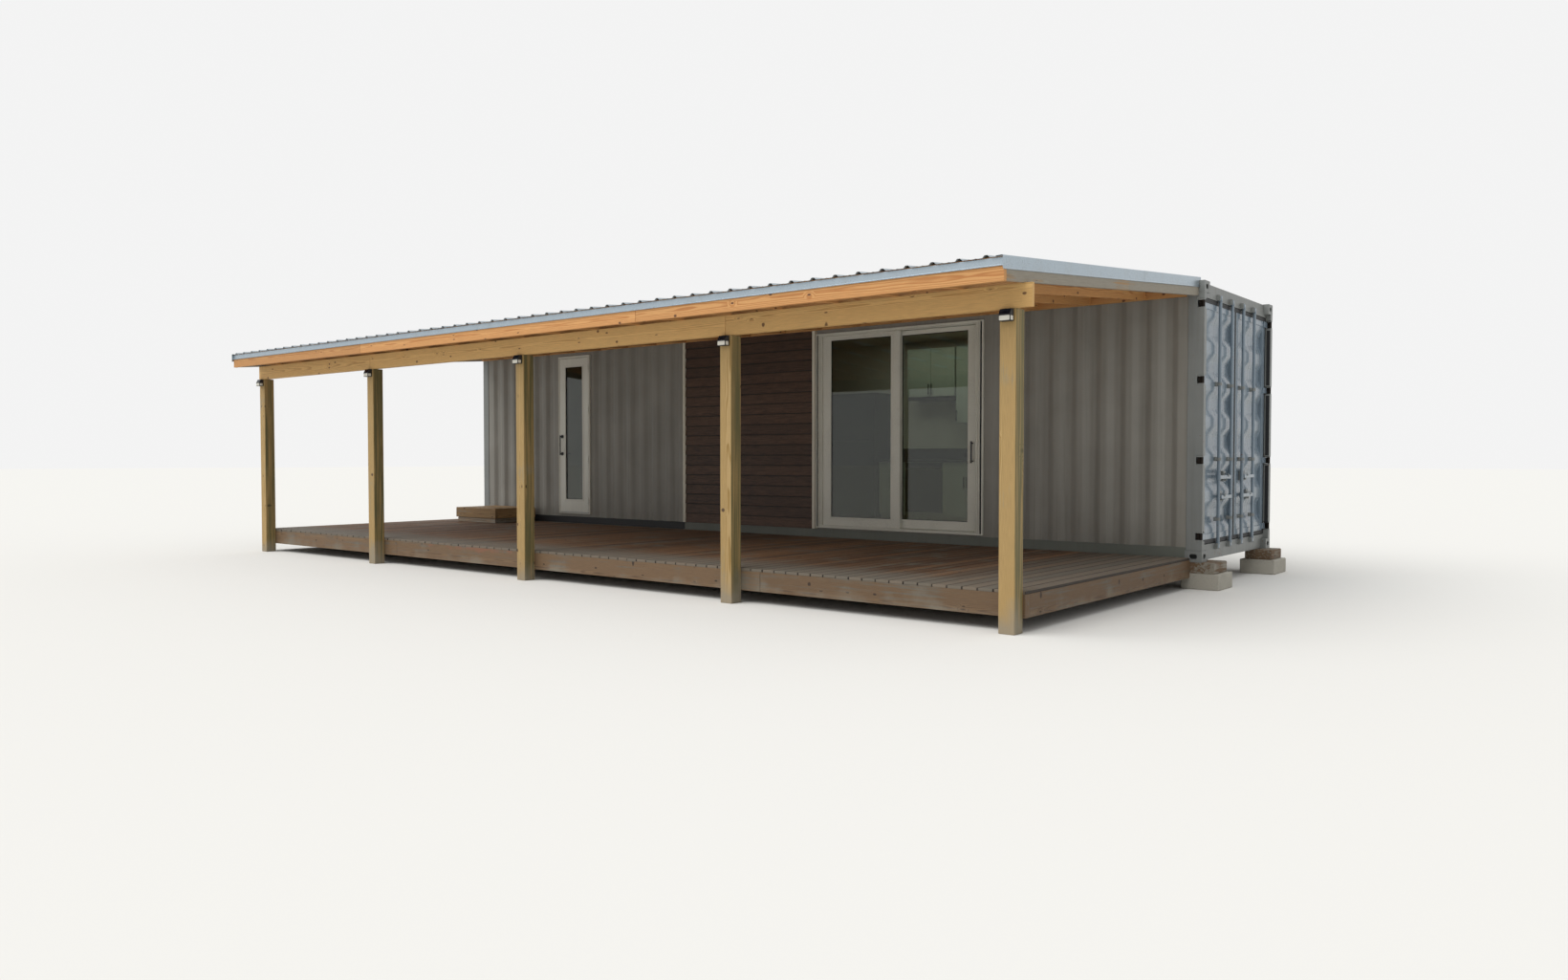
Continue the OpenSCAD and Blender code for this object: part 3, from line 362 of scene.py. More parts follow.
# %% Pine finishes
def pine(name, spring, summer, knot_colour, ring_mm=4.5, grey=0.0, grey_colour="#8d897e",
         rough=0.7, soil=0.0, soil_top=0.5, green_side_shade=0.0, bleach=None, painted_gap_shade=None, relief=0.35,
         spread=(0.84, 1.12), dabs=None):
    """Sawn pine. grey is the share of weathered surface, soil the strength of splashed earth
    below soil_top, green_side_shade the strength of a greenish painted shade on faces that look
    to +X, and bleach = (y0, y1, x0, x1) two grey zones that fade from y0 to y1 and from x0 to
    x1. painted_gap_shade = (first, step) paints the shade of the gaps on the board edges that
    lie at x = first + k step, by the distance from the nearest one. spread is the darkest and
    lightest board's tone, and dabs = (colour, x0, x1, z) are patches of clay above z, between x0
    and x1."""
    m, n = finish_of(name)
    log = n("Attribute", attribute_name="grain").outputs["Vector"]
    tone = n("SeparateXYZ", n("Attribute", attribute_name="tone").outputs["Vector"])
    spot = n("TexCoord").outputs["Object"]
    along, across, deep = n("SeparateXYZ", log).outputs
    x, y, z = n("SeparateXYZ", spot).outputs
    # Rings wander a few millimetres along the log
    wander = n("TexNoise", n("Mapping", log, Scale=(0.5, 5, 5)), Scale=2, Detail=2)
    # Knots: one spoke about 35 mm wide in a few of the cells of (place along, angle round the
    # heart), where a cell is about 140 mm long
    angle = n("Math ARCTAN2", deep, across)
    spoke = n("CombineXYZ", n("Math MULTIPLY", along, 7.0), n("Math MULTIPLY", angle, 1.3))
    cell = n("TexVoronoi", spoke, Scale=1, voronoi_dimensions="2D").outputs
    chosen = n("Math GREATER_THAN", n("SeparateColor", cell["Color"]), 0.87)
    knot = n("MapRange", cell["Distance"], 0.16, 0.09, interpolation_type="SMOOTHSTEP")
    knot = n("Math MULTIPLY", knot, chosen)
    halo = n("Math MULTIPLY", n("MapRange", cell["Distance"], 0.5, 0, 0, 0.012), chosen)
    radius = n("VectorMath LENGTH", n("CombineXYZ", 0, across, deep))
    radius = n("Math MULTIPLY_ADD", wander, 0.022, n("Math ADD", radius, halo))
    year = n("Math FRACT", n("Math MULTIPLY", radius, 1000 / ring_mm))
    wood = n("ValToRGB", year, stops=[(0.0, spring), (1.0, spring), (0.45, spring),
                                      (0.80, summer), (0.93, summer)])
    # Fibres 2.4 mm wide and 110 mm long: real ones are finer, but would not show
    fibre = n("TexNoise", n("Mapping", log, Scale=(9, 420, 420)), Scale=1, Detail=3)
    shade = n("MapRange", fibre, 0.25, 0.75, 0.80, 1.16)
    for tint in (shade, n("MapRange", tone, 0, 1, *spread)):
        wood = n("Mix RGBA", 1.0, wood, tint, blend_type="MULTIPLY")
    colour = n("Mix RGBA", knot, wood, knot_colour)
    # Weather comes in blotches of 380 mm and in streaks 22 mm wide and 830 mm long
    blotch = n("TexNoise", spot, Scale=2.6, Detail=5)
    streak = n("TexNoise", n("Mapping", log, Scale=(1.2, 45, 45)), Scale=1, Detail=4)
    if grey:
        worn = n("Math ADD", blotch, streak)
        worn = n("MapRange", worn, 1.25 - 0.6 * grey, 1.45 - 0.6 * grey, 0, 0.9)
        if bleach:
            rain = n("Math MAXIMUM", n("MapRange", y, bleach[1], bleach[0]),
                     n("MapRange", x, bleach[3], bleach[2]))
            edge = n("Math MULTIPLY_ADD", streak, 0.9, rain)
            edge = n("MapRange", edge, 0.62, 1.15, 0, 0.75, interpolation_type="SMOOTHSTEP")
            worn = n("Math MAXIMUM", worn, edge)
        old = n("Mix RGBA", 1.0, grey_colour, shade, blend_type="MULTIPLY")
        colour = n("Mix RGBA", worn, colour, old)
    if painted_gap_shade:
        # Painted shade: each board's edges darken towards the gaps, standing for the shade in them
        edge = n("Math MULTIPLY_ADD", x, 1 / painted_gap_shade[1], -painted_gap_shade[0] / painted_gap_shade[1])
        edge = n("MapRange", n("Math PINGPONG", edge, 0.5), 0.075, 0.03, 0, 0.85)
        colour = n("Mix RGBA", edge, colour, "#1c1410")
    if green_side_shade:
        # Painted shade: faces that look to +X, the shaded side, turn a dark olive green
        side = n("MapRange", n("SeparateXYZ", n("NewGeometry").outputs["Normal"]), 0.5, 0.95)
        painted_side_shade = n("Math MULTIPLY", side, n("MapRange", streak, 0.30, 0.58, 0, green_side_shade))
        colour = n("Mix RGBA", painted_side_shade, colour, "#565635")
    if soil:
        low = n("Math POWER", n("MapRange", z, soil_top, 0), 1.6)
        low = n("MapRange", n("Math MULTIPLY_ADD", blotch, 1.8, low), 1.12, 1.75, 0, soil)
        colour = n("Mix RGBA", low, colour, "#8c8474")
    if dabs:
        clay, x0, x1, z0 = dabs
        away = n("Math ABSOLUTE", n("Math SUBTRACT", x, (x0 + x1) / 2))
        where = n("Math ADD", n("MapRange", away, (x1 - x0) / 2, 0, 0, 0.5),
                  n("MapRange", z, z0, z0 + 0.07, 0, 0.5))
        where = n("Math ADD", n("TexNoise", spot, Scale=9, Detail=3), where)
        colour = n("Mix RGBA", n("MapRange", where, 1.35, 1.50, 0, 0.55), colour, clay)
    lift = n("Math MULTIPLY_ADD", year, 0.5, fibre)
    bump = n("Bump", Height=lift, Strength=relief, Distance=0.0008)
    dull = n("MapRange", year, 0, 1, rough + 0.06, rough - 0.08)
    n("OutputMaterial", Surface=n("BsdfPrincipled", colour, Roughness=dull, Normal=bump))
    return m


# Sawn and planed pine is matt. Treated posts and beam are yellow-tan, the posts with a greenish
# painted shade on the faces that look to +X; fresh boards are orange, old ones grey, the
# stained rim dark brown and the hewn sleepers deep-grained
post_pine = pine("treated_pine_sawn", "#b69865", "#98793f", "#513a24", grey=0.2,
                 grey_colour="#8f8467", soil=0.75, soil_top=0.42, green_side_shade=0.85)
beam_pine = pine("treated_pine_planed", "#d6ae70", "#bb9055", "#6f4f30",
                 ring_mm=6)
fresh_pine = pine("yellow_pine_sawn", "#cf9a60", "#b5783f", "#5f3a20", ring_mm=5.5)
grey_pine = pine("weathered_pine_sawn", "#a8885f", "#7d6140", "#43362a", grey=0.95)
rim_pine = pine("stained_rim_pine", "#735b41", "#57422d", "#34261a", grey=0.4,
                soil=0.6, soil_top=0.32, grey_colour="#615b50",
                dabs=("#84543f", -3.2, 0.9, 0.20))
sleeper = pine("old_timber_hewn", "#6d5740", "#4c3a29", "#2b2119", grey=0.5,
               soil=0.7, soil_top=0.3, rough=0.85, relief=0.8)
print("pine finishes ready")

# %% [markdown]
# The frame holds each group of like timbers as one node of separate solids. Splitting such a
# node gives every board's own box, so the boards below follow the construction exactly: each
# one runs along its box's longest side, and long runs are cut into the lengths that a timber
# yard sells, where a joint falls on something that carries it.

# %% Boxes of the frame's solids
END_FREE, PLY_GAP = 0.3, 0.0004


def solids_of(name):
    """(solid, low or high, xyz) of a node: a label spreads over the triangles until it settles."""
    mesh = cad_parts[name].data
    points = np.empty(len(mesh.vertices) * 3)
    mesh.vertices.foreach_get("co", points)
    points = points.reshape(-1, 3) - ORIGIN
    same = np.unique(np.round(points, 5), axis=0, return_inverse=True)[1].ravel()
    corners = np.empty(len(mesh.loops), np.int32)
    mesh.loops.foreach_get("vertex_index", corners)
    triangles = same[corners].reshape(-1, 3)
    label = np.arange(same.max() + 1)
    settled = False
    while not settled:
        spread = label.copy()
        np.minimum.at(spread, triangles.ravel(), np.repeat(label[triangles].min(1), 3))
        spread = spread[spread]
        settled = (spread == label).all()
        label = spread
    group = label[same]
    return np.array([[points[group == g].min(0), points[group == g].max(0)]
                     for g in np.unique(group)])


def boards_in(name, material, boxes, cuts=(), gap=0.0015, **more):
    """A board in each box, along its longest side, cut across at the given places."""
    pieces = []
    for low, high in np.array(boxes):
        run = np.argmax(high - low)
        a, b = low[run], high[run]
        stops = [a, *[c for c in cuts if a + END_FREE < c < b - END_FREE], b]
        for c, d in zip(stops, stops[1:]):
            first, last = low.copy(), high.copy()
            first[run] = c + gap * (c > a)
            last[run] = d - gap * (d < b)
            pieces.append((first, last))
    low, high = np.array(pieces).transpose(1, 0, 2)
    size = high - low
    axes, row = np.eye(3), np.arange(len(size))
    run, thin = size.argmax(1), size.argmin(1)
    wide = 3 - run - thin
    middle, half = (low + high) / 2, axes[run] * size / 2
    return boards(name, material, middle - half, middle + half, axes[wide], size[row, wide],
                  size[row, thin], **more)


def plies(low, high):
    """The two boxes of a timber of two boards side by side, the outer one first."""
    middle = (low[1] + high[1]) / 2
    return [(low, (high[0], middle - PLY_GAP, high[2])),
            ((low[0], middle + PLY_GAP, low[2]), high)]


posts = solids_of("porch_posts")
print("posts at x =", np.round(posts[:, 0, 0], 3), "rafters:", len(solids_of("rafters")))

# %% Posts, beam and rim boards
post_mid = posts[:, :, 0].mean(1)
boards_in("post_timbers", post_pine, posts, ease=0.008, spans=8, arc=3,
          bow=rng.uniform(-0.0015, 0.0015, len(posts)), stands_for="porch_posts")

outer_ply, (inner_low, inner_high) = plies(*near("porch_beam"))
boards_in("beam_outer_boards", beam_pine, [outer_ply], post_mid[[1, 3]], stands_for="porch_beam")
# The beam's inner board ends over the last post
boards_in("beam_inner_boards", beam_pine, [(inner_low, (posts[-1, 1, 0], *inner_high[1:]))],
          post_mid[[2]])

deck_low, deck_high = near("deck_boards")
rim_boxes = solids_of("deck_frame")
front = rim_boxes[:, 0, 1].argmin()
boards_in("rim_and_joists", rim_pine, [*plies(*rim_boxes[front]), *np.delete(rim_boxes, front, 0)],
          post_mid[1:4] + [0.35, -0.2, 0.3], spans=10, stands_for="deck_frame")
print("rim boards and joists:", len(rim_boxes) + 1)

# %% [markdown]
# The deck is pine decking laid from front to back, each board with its round edges, a few
# millimetres of gap and two screws at every joist. The front metre, which the roof does not
# shelter, has bleached grey; behind it the boards are still brown.

# %% Deck boards
DECKING_PITCH, DECKING_GAP = 0.1405, 0.004
DECK_CLEAR = 0.0006

joist_y = np.sort([b[:, 1].mean() for b in rim_boxes if np.ptp(b[:, 0]) > 1])
deck_count = round((deck_high[0] - deck_low[0]) / DECKING_PITCH)
deck_step = (deck_high[0] - deck_low[0]) / deck_count
deck_x = deck_low[0] + (np.arange(deck_count) + 0.5) * deck_step
# Old decking: brown and worn under the roof, grey past it, with painted shade darkening the
# board edges where two boards meet
deck_pine = pine("weathered_deck_pine", "#7e5b3a", "#5e412a", "#38281d", grey=0.35,
                 grey_colour="#6d6a60", bleach=(-2.85, -1.75, 5.9, 4.2), rough=0.82, relief=0.6,
                 spread=(0.55, 1.25), painted_gap_shade=(deck_low[0] + ORIGIN[0], deck_step))
deck_z = (deck_low[2] + deck_high[2]) / 2 - DECK_CLEAR + 0 * deck_x
deck_y = (deck_low[1] + rng.uniform(0, 0.006, deck_count), deck_high[1] - 0.004 + 0 * deck_x)
deck_ends = [np.stack([deck_x, y, deck_z], 1) for y in deck_y]
boards("deck_planks", deck_pine, *deck_ends, (1, 0, 0),
       deck_step - DECKING_GAP, deck_high[2] - deck_low[2] - 2 * DECK_CLEAR, ease=0.0055,
       spans=10, bow=rng.uniform(-0.0006, 0.0006, deck_count), stands_for="deck_boards")
print("deck boards:", deck_count, "at", round(deck_step * 1000, 1), "mm")

# %% [markdown]
# Screws, bolts and rivets are all one form: a low disc with an eased rim. One function makes
# any number of them as a single mesh, with few sides, because there are hundreds.

# %% Studs
WOOD_SCREW = [(0.0042, -0.002), (0.0042, 0.0002), (0.003, 0.0008)]
SCREW_PAIR = np.array([-0.045, 0.045])


def turned(feet, axis, rings, sides):
    """Points (foot, ring, side, 3) round an axis: foot + radius (cos a, sin a) in the plane
    across the axis + height along it, for the (radius, height) pairs of rings."""
    axis = axis / np.linalg.norm(axis)
    side = np.cross(axis, (0, 0, 1) if abs(axis[2]) < 0.9 else (1, 0, 0))
    side /= np.linalg.norm(side)
    angle = np.arange(sides)[:, None] * 2 * math.pi / sides
    circle = np.cos(angle) * side + np.sin(angle) * np.cross(axis, side)
    radius, height = np.transpose(rings)[:, :, None, None]
    return np.reshape(feet, (-1, 1, 1, 3)) + (radius * circle + height * axis)


def studs(name, material, feet, axis, rings, sides=8, **told):
    """Turned studs on their feet, closed at both ends. rings goes from the foot up."""
    return tubes(name, turned(feet, axis, rings, sides), material, **told)


def metal(name, colour, rough, grime="#5b5348", share=0.35, grain=180.0, metallic=1.0):
    """Bare or plated metal: roughness wanders with a fine noise and dirt settles in spots."""
    m, n = finish_of(name)
    spot = n("TexCoord").outputs["Object"]
    # The grain, 1000 / grain mm wide, is coarser than the real one, so that it shows. Dirt
    # settles in patches of 140 mm
    fine = n("TexNoise", spot, Scale=grain, Detail=3)
    dirt = n("MapRange", n("TexNoise", spot, Scale=7, Detail=6), 0.52, 0.78, 0, share)
    base = n("Mix RGBA", dirt, colour, grime)
    dull = n("MapRange", fine, 0, 1, rough - 0.08, rough + 0.12)
    bump = n("Bump", Height=fine, Strength=0.08, Distance=0.0005)
    n("OutputMaterial", Surface=n("BsdfPrincipled", base, metallic, dull, Normal=bump))
    return m


# Coated screws are dull and brownish, zinc-plated ones pale with a soft shine
screw_steel = metal("coated_steel_screws", "#77706a", 0.5, share=0.8)
zinc = metal("zinc_plated_steel", "#a9acab", 0.38)
screws = np.empty((deck_count, 2, len(joist_y), 3))
screws[..., 0] = deck_x[:, None, None] + SCREW_PAIR[:, None]
screws[..., 1] = joist_y + rng.uniform(-0.004, 0.004, screws.shape[:3])
screws[..., 2] = deck_high[2] - 2 * DECK_CLEAR
studs("deck_screws", screw_steel, screws, (0, 0, 1), WOOD_SCREW, sides=6)
print("deck screws:", screws.size // 3)

# %% Rafters, ledger, purlins, eave and rake boards
LEDGER_JOINTS, FASCIA_JOINTS = (3.96, 7.92), (3.35, 8.25)

fascia_low, fascia_high = near("eave_fascia")
ledger_low, ledger_high = near("roof_ledger")
RISE = (ledger_low[2] - fascia_low[2]) / (ledger_low[1] - fascia_low[1])
SLOPE = math.atan(RISE)
UPHILL = np.array([0, math.cos(SLOPE), math.sin(SLOPE)])
OFF_ROOF = np.array([0, -math.sin(SLOPE), math.cos(SLOPE)])
rafter_tall = (ledger_high[2] - ledger_low[2]) * math.cos(SLOPE)

for name, material, node in (("rafter_boards", fresh_pine, "rafters"),
                             ("rake_edge_boards", grey_pine, "rake_boards")):
    # Boards on edge with plumb cuts. Their undersides rise from the fascia's lower edge
    boxes = solids_of(node)
    across = boxes[:, :, 0].mean(1)
    ends = [np.stack([across, y, fascia_low[2] + (y - fascia_low[1]) * RISE
                      + rafter_tall / 2 / math.cos(SLOPE)], 1) for y in boxes[:, :, 1].T]
    boards(name, material, *ends, (0, 0, 1), rafter_tall, np.ptp(boxes[0, :, 0]), slant=RISE,
           stands_for=node)
boards_in("ledger_boards", fresh_pine, [(ledger_low, ledger_high)], LEDGER_JOINTS,
          stands_for="roof_ledger")
boards_in("fascia_boards", fresh_pine, [(fascia_low, fascia_high)], FASCIA_JOINTS, bow=0.002,
          stands_for="eave_fascia")
purlin_boxes = solids_of("purlins")
purlin_thick = ledger_high[1] - ledger_low[1]
purlin_wide = (np.ptp(purlin_boxes[0, :, 1]) - purlin_thick * math.sin(SLOPE)) / math.cos(SLOPE)
purlin_mid = purlin_boxes.mean(1)
purlin_ends = [np.stack([x, *purlin_mid[:, 1:].T], 1) for x in purlin_boxes[:, :, 0].T]
boards("purlin_boards", fresh_pine, *purlin_ends, UPHILL, purlin_wide, purlin_thick, spans=12,
       stands_for="purlins")
print(f"slope {math.degrees(SLOPE):.2f} degrees, {len(purlin_boxes)} purlins")

# %% [markdown]
# The porch roof is ribbed sheet steel with a zinc and aluminium coating. One sheet covers
# 914 mm, with a tall rib every 229 mm and low stiffening ribs between. Its outline is a
# line of straight stretches whose corners are eased by short curves, carried down the slope;
# a sheet lies over its neighbour's last rib, so the laps show as fine steps.

# %% Bent sheets
def eased(line, radius, steps=3):
    """The line with each corner P replaced by the curve (1-t)^2 A + 2t(1-t) P + t^2 C, where
    A and C lie on its two arms a radius from P."""
    line = np.array(line)
    corner = line[1:-1]
    cut = []
    for arm in (line[:-2] - corner, line[2:] - corner):
        long = np.linalg.norm(arm, axis=1)[:, None]
        cut.append(corner + arm / long * np.minimum(radius, long * 0.48))
    t = np.linspace(0, 1, steps)[:, None]
    curve = (1 - t) ** 2 * cut[0][:, None] + 2 * t * (1 - t) * corner[:, None] \
        + t ** 2 * cut[1][:, None]
    return np.concatenate([line[:1], curve.reshape(-1, 2), line[-1:]])


def sheet(line, thick, start, along, across=(1, 0, 0), up=(0, 0, 1)):
    """(points, quads) of a bent sheet: the line (u, v) at start + u across + v up, its back
    a thickness behind, both carried along."""
    way = np.gradient(line, axis=0)
    way /= np.linalg.norm(way, axis=1)[:, None]
    back = line - thick * np.stack([-way[:, 1], way[:, 0]], 1)
    loop = np.concatenate([line, back[::-1]])
    flat = start + loop[:, :1] * across + loop[:, 1:] * up
    return capped(np.stack([flat, flat + along]))


# Roll-formed sheet is soft silver-grey, and the folded trim is glossier, its bluer tint a
# painted sky reflection
coated_steel = metal("zinc_aluminium_steel_rolled", "#aab3b9", 0.38,
                     grime="#8f8f88", share=0.25, grain=90, metallic=0.7)
trim_steel = metal("zinc_aluminium_steel_folded", "#a7b4bd", 0.28,
                   grime="#9a9a94", share=0.25, metallic=0.6)
print("bent sheets ready")

# %% Roofing, its trim and its screws
ROOFING_T, TRIM_T = 0.0007, 0.0008
RIB_PITCH, RIBS_A_SHEET = 0.2286, 4
# Foot, top and height of a rib. The low ones stand at these shares of a pan
TALL_RIB, LOW_RIB, LOW_AT = (0.064, 0.024, 0.019), (0.018, 0.008, 0.003), (0.38, 0.62)
RIB_BEND, TRIM_BEND, LAP = 0.004, 0.003, 0.0009
RAKE_LINE = np.array([(0, -0.096), (-0.007, -0.093), (0, -0.083), (0, 0.004), (0.005, 0.0085),
                      (0.055, 0.0065), (0.060, 0.002)])
EAVE_LINE = [(0.055, 0.004), (0.006, -0.001), (-0.0005, -0.006), (-0.0005, -0.060),
             (-0.010, -0.069)]

roof_low, roof_high = near("roof_sheets")
trim_low, trim_high = near("roof_trim")
roof_wide = roof_high[0] - roof_low[0]
rib_count = int(roof_wide / RIB_PITCH)
rib_x = roof_low[0] + (roof_wide - (rib_count - 1) * RIB_PITCH) / 2 \
    + np.arange(rib_count) * RIB_PITCH
top_of_purlins = purlin_mid[0, 2] + purlin_thick / 2 * math.cos(SLOPE) \
    - (purlin_mid[0, 1] - fascia_low[1]) * RISE - purlin_thick / 2 * math.sin(SLOPE) * RISE


def on_purlins(y, lift=0.0):
    """Height of the purlins' upper faces at a distance y, and so far above them."""
    return top_of_purlins + (y - fascia_low[1]) * RISE + lift / math.cos(SLOPE)


def rib_line(first, last, start, end):
    """Outline of one sheet from start to end over the ribs numbered first to last, with two
    low ones in each pan."""
    line = [(start, 0)]
    for k in range(first, last + 1):
        pan = [(rib_x[k] + share * RIB_PITCH, *LOW_RIB) for share in LOW_AT if k < last]
        for x, foot, top, tall in [(rib_x[k], *TALL_RIB), *pan]:
            line += [(x - foot / 2, 0), (x - top / 2, tall), (x + top / 2, tall),
                     (x + foot / 2, 0)]
    return eased([*line, (end, 0)], RIB_BEND)


roof_y = roof_low[1] + (TALL_RIB[2] + 0.0015) * math.sin(SLOPE)
roof_run = (roof_high[1] - roof_y - 0.002) / math.cos(SLOPE)
sheets = []
for first in range(0, rib_count - 1, RIBS_A_SHEET):
    last = min(first + RIBS_A_SHEET, rib_count - 1)
    a = roof_low[0] if first == 0 else rib_x[first] - 0.030
    b = roof_high[0] if last == rib_count - 1 else rib_x[last] + 0.034
    lift = ROOFING_T + LAP * (len(sheets) % 2)
    sheets.append(sheet(rib_line(first, last, a, b), ROOFING_T,
                        (0, roof_y, on_purlins(roof_y, lift)), roof_run * UPHILL, up=OFF_ROOF))
piece("roof_sheeting", joined(sheets), coated_steel, stands_for="roof_sheets")

trims = []
trim_y, trim_run = roof_y - 0.001, roof_high[1] - 0.004 - (roof_y - 0.001)
for x, side in ((trim_low[0], 1), (trim_high[0], -1)):
    # Two lengths, the upper one lapped over the lower
    for first, last, lift in ((0, 0.66, 0), (0.64, 1, LAP)):
        y = trim_y + first * trim_run
        trims.append(sheet(eased(RAKE_LINE * [side, 1], TRIM_BEND), TRIM_T,
                           (x - side * lift, y, on_purlins(y, 0.001 + lift)),
                           (last - first) * trim_run / math.cos(SLOPE) * UPHILL))
trims.append(sheet(eased(EAVE_LINE, TRIM_BEND), TRIM_T,
                   (trim_low[0] + 0.003, fascia_low[1] - 0.0008,
                    on_purlins(fascia_low[1]) + 0.0002),
                   (trim_high[0] - trim_low[0] - 0.006, 0, 0), (0, 1, 0)))
piece("roof_edge_trim", joined(trims), trim_steel, stands_for="roof_trim")

screws = [(x, y, on_purlins(y, 0.0016)) for y in purlin_mid[:, 1]
          for x in rib_x[:-1] + TALL_RIB[0] / 2 + 0.012]
studs("roofing_screws", zinc, screws, OFF_ROOF, [(0.0075, -0.001), (0.0075, 0.0018),
      (0.004, 0.0022), (0.004, 0.0065), (0.0025, 0.0068)], sides=6, slot="roofing_steel")
print("roof sheets:", len(sheets), "ribs:", rib_count, "roofing screws:", len(screws))

# %% [markdown]
# The container's skin is 2 mm steel pressed into waves. A flat image of waves would fail at
# grazing angles and at the cut edges, so the walls are made like the roofing: the CAD wave,
# its bends rounded, carried up the wall. The heavy rolled parts keep the CAD shape: a merged
# copy gets a live bevel, which rounds each edge as a rolling mill or a grinder leaves it.

# %% Painted and cast surfaces
def painted(name, colour, second, rough, streak=0.3, rust=0.0, swell=0.3, coat=0.0,
            streak_colour="#5d594f"):
    """Sprayed paint: two near tones in clouds, rain streaks down the height, rust freckles
    where rust > 0, orange peel and a slow swell of the sheet under it."""
    m, n = finish_of(name)
    spot = n("TexCoord").outputs["Object"]
    # Clouds of 590 mm, rain streaks 42 mm wide and 1.25 m long
    tone = n("MapRange", n("TexNoise", spot, Scale=1.7, Detail=5), 0.35, 0.65)
    base = n("Mix RGBA", tone, colour, second)
    runs = n("TexNoise", n("Mapping", spot, Scale=(24, 24, 0.8)), Scale=1, Detail=5, Roughness=0.6)
    base = n("Mix RGBA", n("MapRange", runs, 0.50, 0.80, 0, streak), base, streak_colour)
    if rust:
        # Freckles of 26 mm and less, crowded in zones of 430 mm
        spots = n("Math MULTIPLY_ADD", n("TexNoise", spot, Scale=2.3, Detail=2), 0.55,
                  n("TexNoise", spot, Scale=38, Detail=6))
        spots = n("MapRange", spots, 1.02 - 0.12 * rust, 1.06 - 0.12 * rust, 0, 0.85)
        base = n("Mix RGBA", spots, base, "#6e4429")
    # Orange peel of 2.4 mm on a swell of 420 mm
    fine = n("Bump", Height=n("TexNoise", spot, Scale=420), Strength=0.06, Distance=0.0006)
    slow = n("TexNoise", spot, Scale=2.4, Detail=1)
    bump = n("Bump", Height=slow, Strength=swell, Distance=0.02, Normal=fine)
    dull = n("MapRange", runs, 0, 1, rough - 0.06, rough + 0.14)
    n("OutputMaterial", Surface=n("BsdfPrincipled", base, Roughness=dull, Normal=bump,
                                  Coat_Weight=coat, Coat_Roughness=0.16))
    return m


def plain_surface(name, slot, colour, rough, speckle="#000000", share=0.15, grain=240.0,
                  depth=0.0003, **more):
    """A moulded, cast or rolled surface of one colour, with a fine speckle and its relief."""
    m, n = finish_of(name)
    spot = n("TexCoord").outputs["Object"]
    # A speckle 1000 / grain mm wide, drawn coarse enough to show, in patches of 250 mm
    fine = n("TexNoise", spot, Scale=grain, Detail=4)
    wide = n("TexNoise", spot, Scale=4, Detail=4)
    mark = n("MapRange", n("Math ADD", fine, wide), 1.0, 1.4, 0, share)
    base = n("Mix RGBA", mark, colour, speckle)
    bump = n("Bump", Height=fine, Strength=0.4, Distance=depth)
    dull = n("MapRange", wide, 0, 1, rough - 0.05, rough + 0.08)
    n("OutputMaterial", Surface=n("BsdfPrincipled", base, Roughness=dull, Normal=bump, **more))
    return m


# Sprayed paint is matt grey on the sides and dull with rust freckles on the frame. The doors'
# enamel is glossy, its blue tint a painted sky reflection, and brushed bitumen paint below is
# near black and rough
side_paint = painted("sprayed_side_paint", "#8d8a82", "#848179", 0.48, 0.28)
frame_coat = painted("sprayed_frame_paint", "#7f8280", "#767977", 0.42, rust=0.2,
                     swell=0.1)
rail_coat = painted("sprayed_rail_paint", "#6b6e66", "#62665e", 0.5, 0.35, 0.1,
                    0.05)
door_coat = painted("sprayed_door_enamel", "#758490", "#6c7b87", 0.24, 0.25, 0.05,
                    0.55, coat=0.4, streak_colour="#5b636a")
under_coat = painted("brushed_bitumen_paint", "#34332f", "#3d3a35", 0.62, 0.4,
                     0.5, 0.1)
# Cast concrete is pale and pitted, rubber soft black, powder coat a fine-grained black
footing = plain_surface("cast_concrete", "concrete", "#aaa69b", 0.86, "#6f6b61", 0.5, 130.0,
                        0.002)
rubber = plain_surface("extruded_epdm_rubber", "black_plastic", "#141517", 0.55)
black_coat = plain_surface("powder_coated_steel", "black_metal", "#17181a", 0.38)
print("container finishes ready")

# %% Rounded copies of heavy parts
def softened(name, material, width=0.003, body="cabin", angle=30, segments=2):
    """A merged copy of a CAD node whose edges sharper than angle get a live bevel."""
    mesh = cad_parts[name].data.copy()
    mesh.name = name + "_rounded"
    work = bmesh.new()
    work.from_mesh(mesh)
    bmesh.ops.remove_doubles(work, verts=work.verts, dist=2e-5)
    bmesh.ops.dissolve_limit(work, angle_limit=math.radians(0.5), verts=work.verts,
                             edges=work.edges)
    work.to_mesh(mesh)
    work.free()
    mesh.materials.clear()
    mesh.materials.append(material)
    mesh.shade_smooth()
    mesh.set_sharp_from_angle(angle=math.radians(angle))
    copy = placed(bpy.data.objects.new(mesh.name, mesh), body, name)
    bevel = copy.modifiers.new("rounded_edges", "BEVEL")
    bevel.limit_method, bevel.angle_limit = "ANGLE", math.radians(angle)
    bevel.width, bevel.segments, bevel.harden_normals = width, segments, True


for name, coat, width in (("corner_castings", frame_coat, 0.005),
                          ("corner_posts", frame_coat, 0.004), ("side_rails", rail_coat, 0.003),
                          ("end_rails", frame_coat, 0.004),
                          ("door_post_fittings", frame_coat, 0.002)):
    softened(name, coat, width)
softened("cross_members", under_coat, 0.0015, segments=1)
softened("concrete_pads", footing, 0.012, segments=3)
boards_in("foundation_timbers", sleeper, solids_of("timber_blocks"), ease=0.012, spans=8,
          stands_for="timber_blocks")
print("rounded copies ready")

# %% Corrugated walls and roof
SHEET_T, SHEET_INSET, BEND_RADIUS = 0.002, 0.008, 0.016
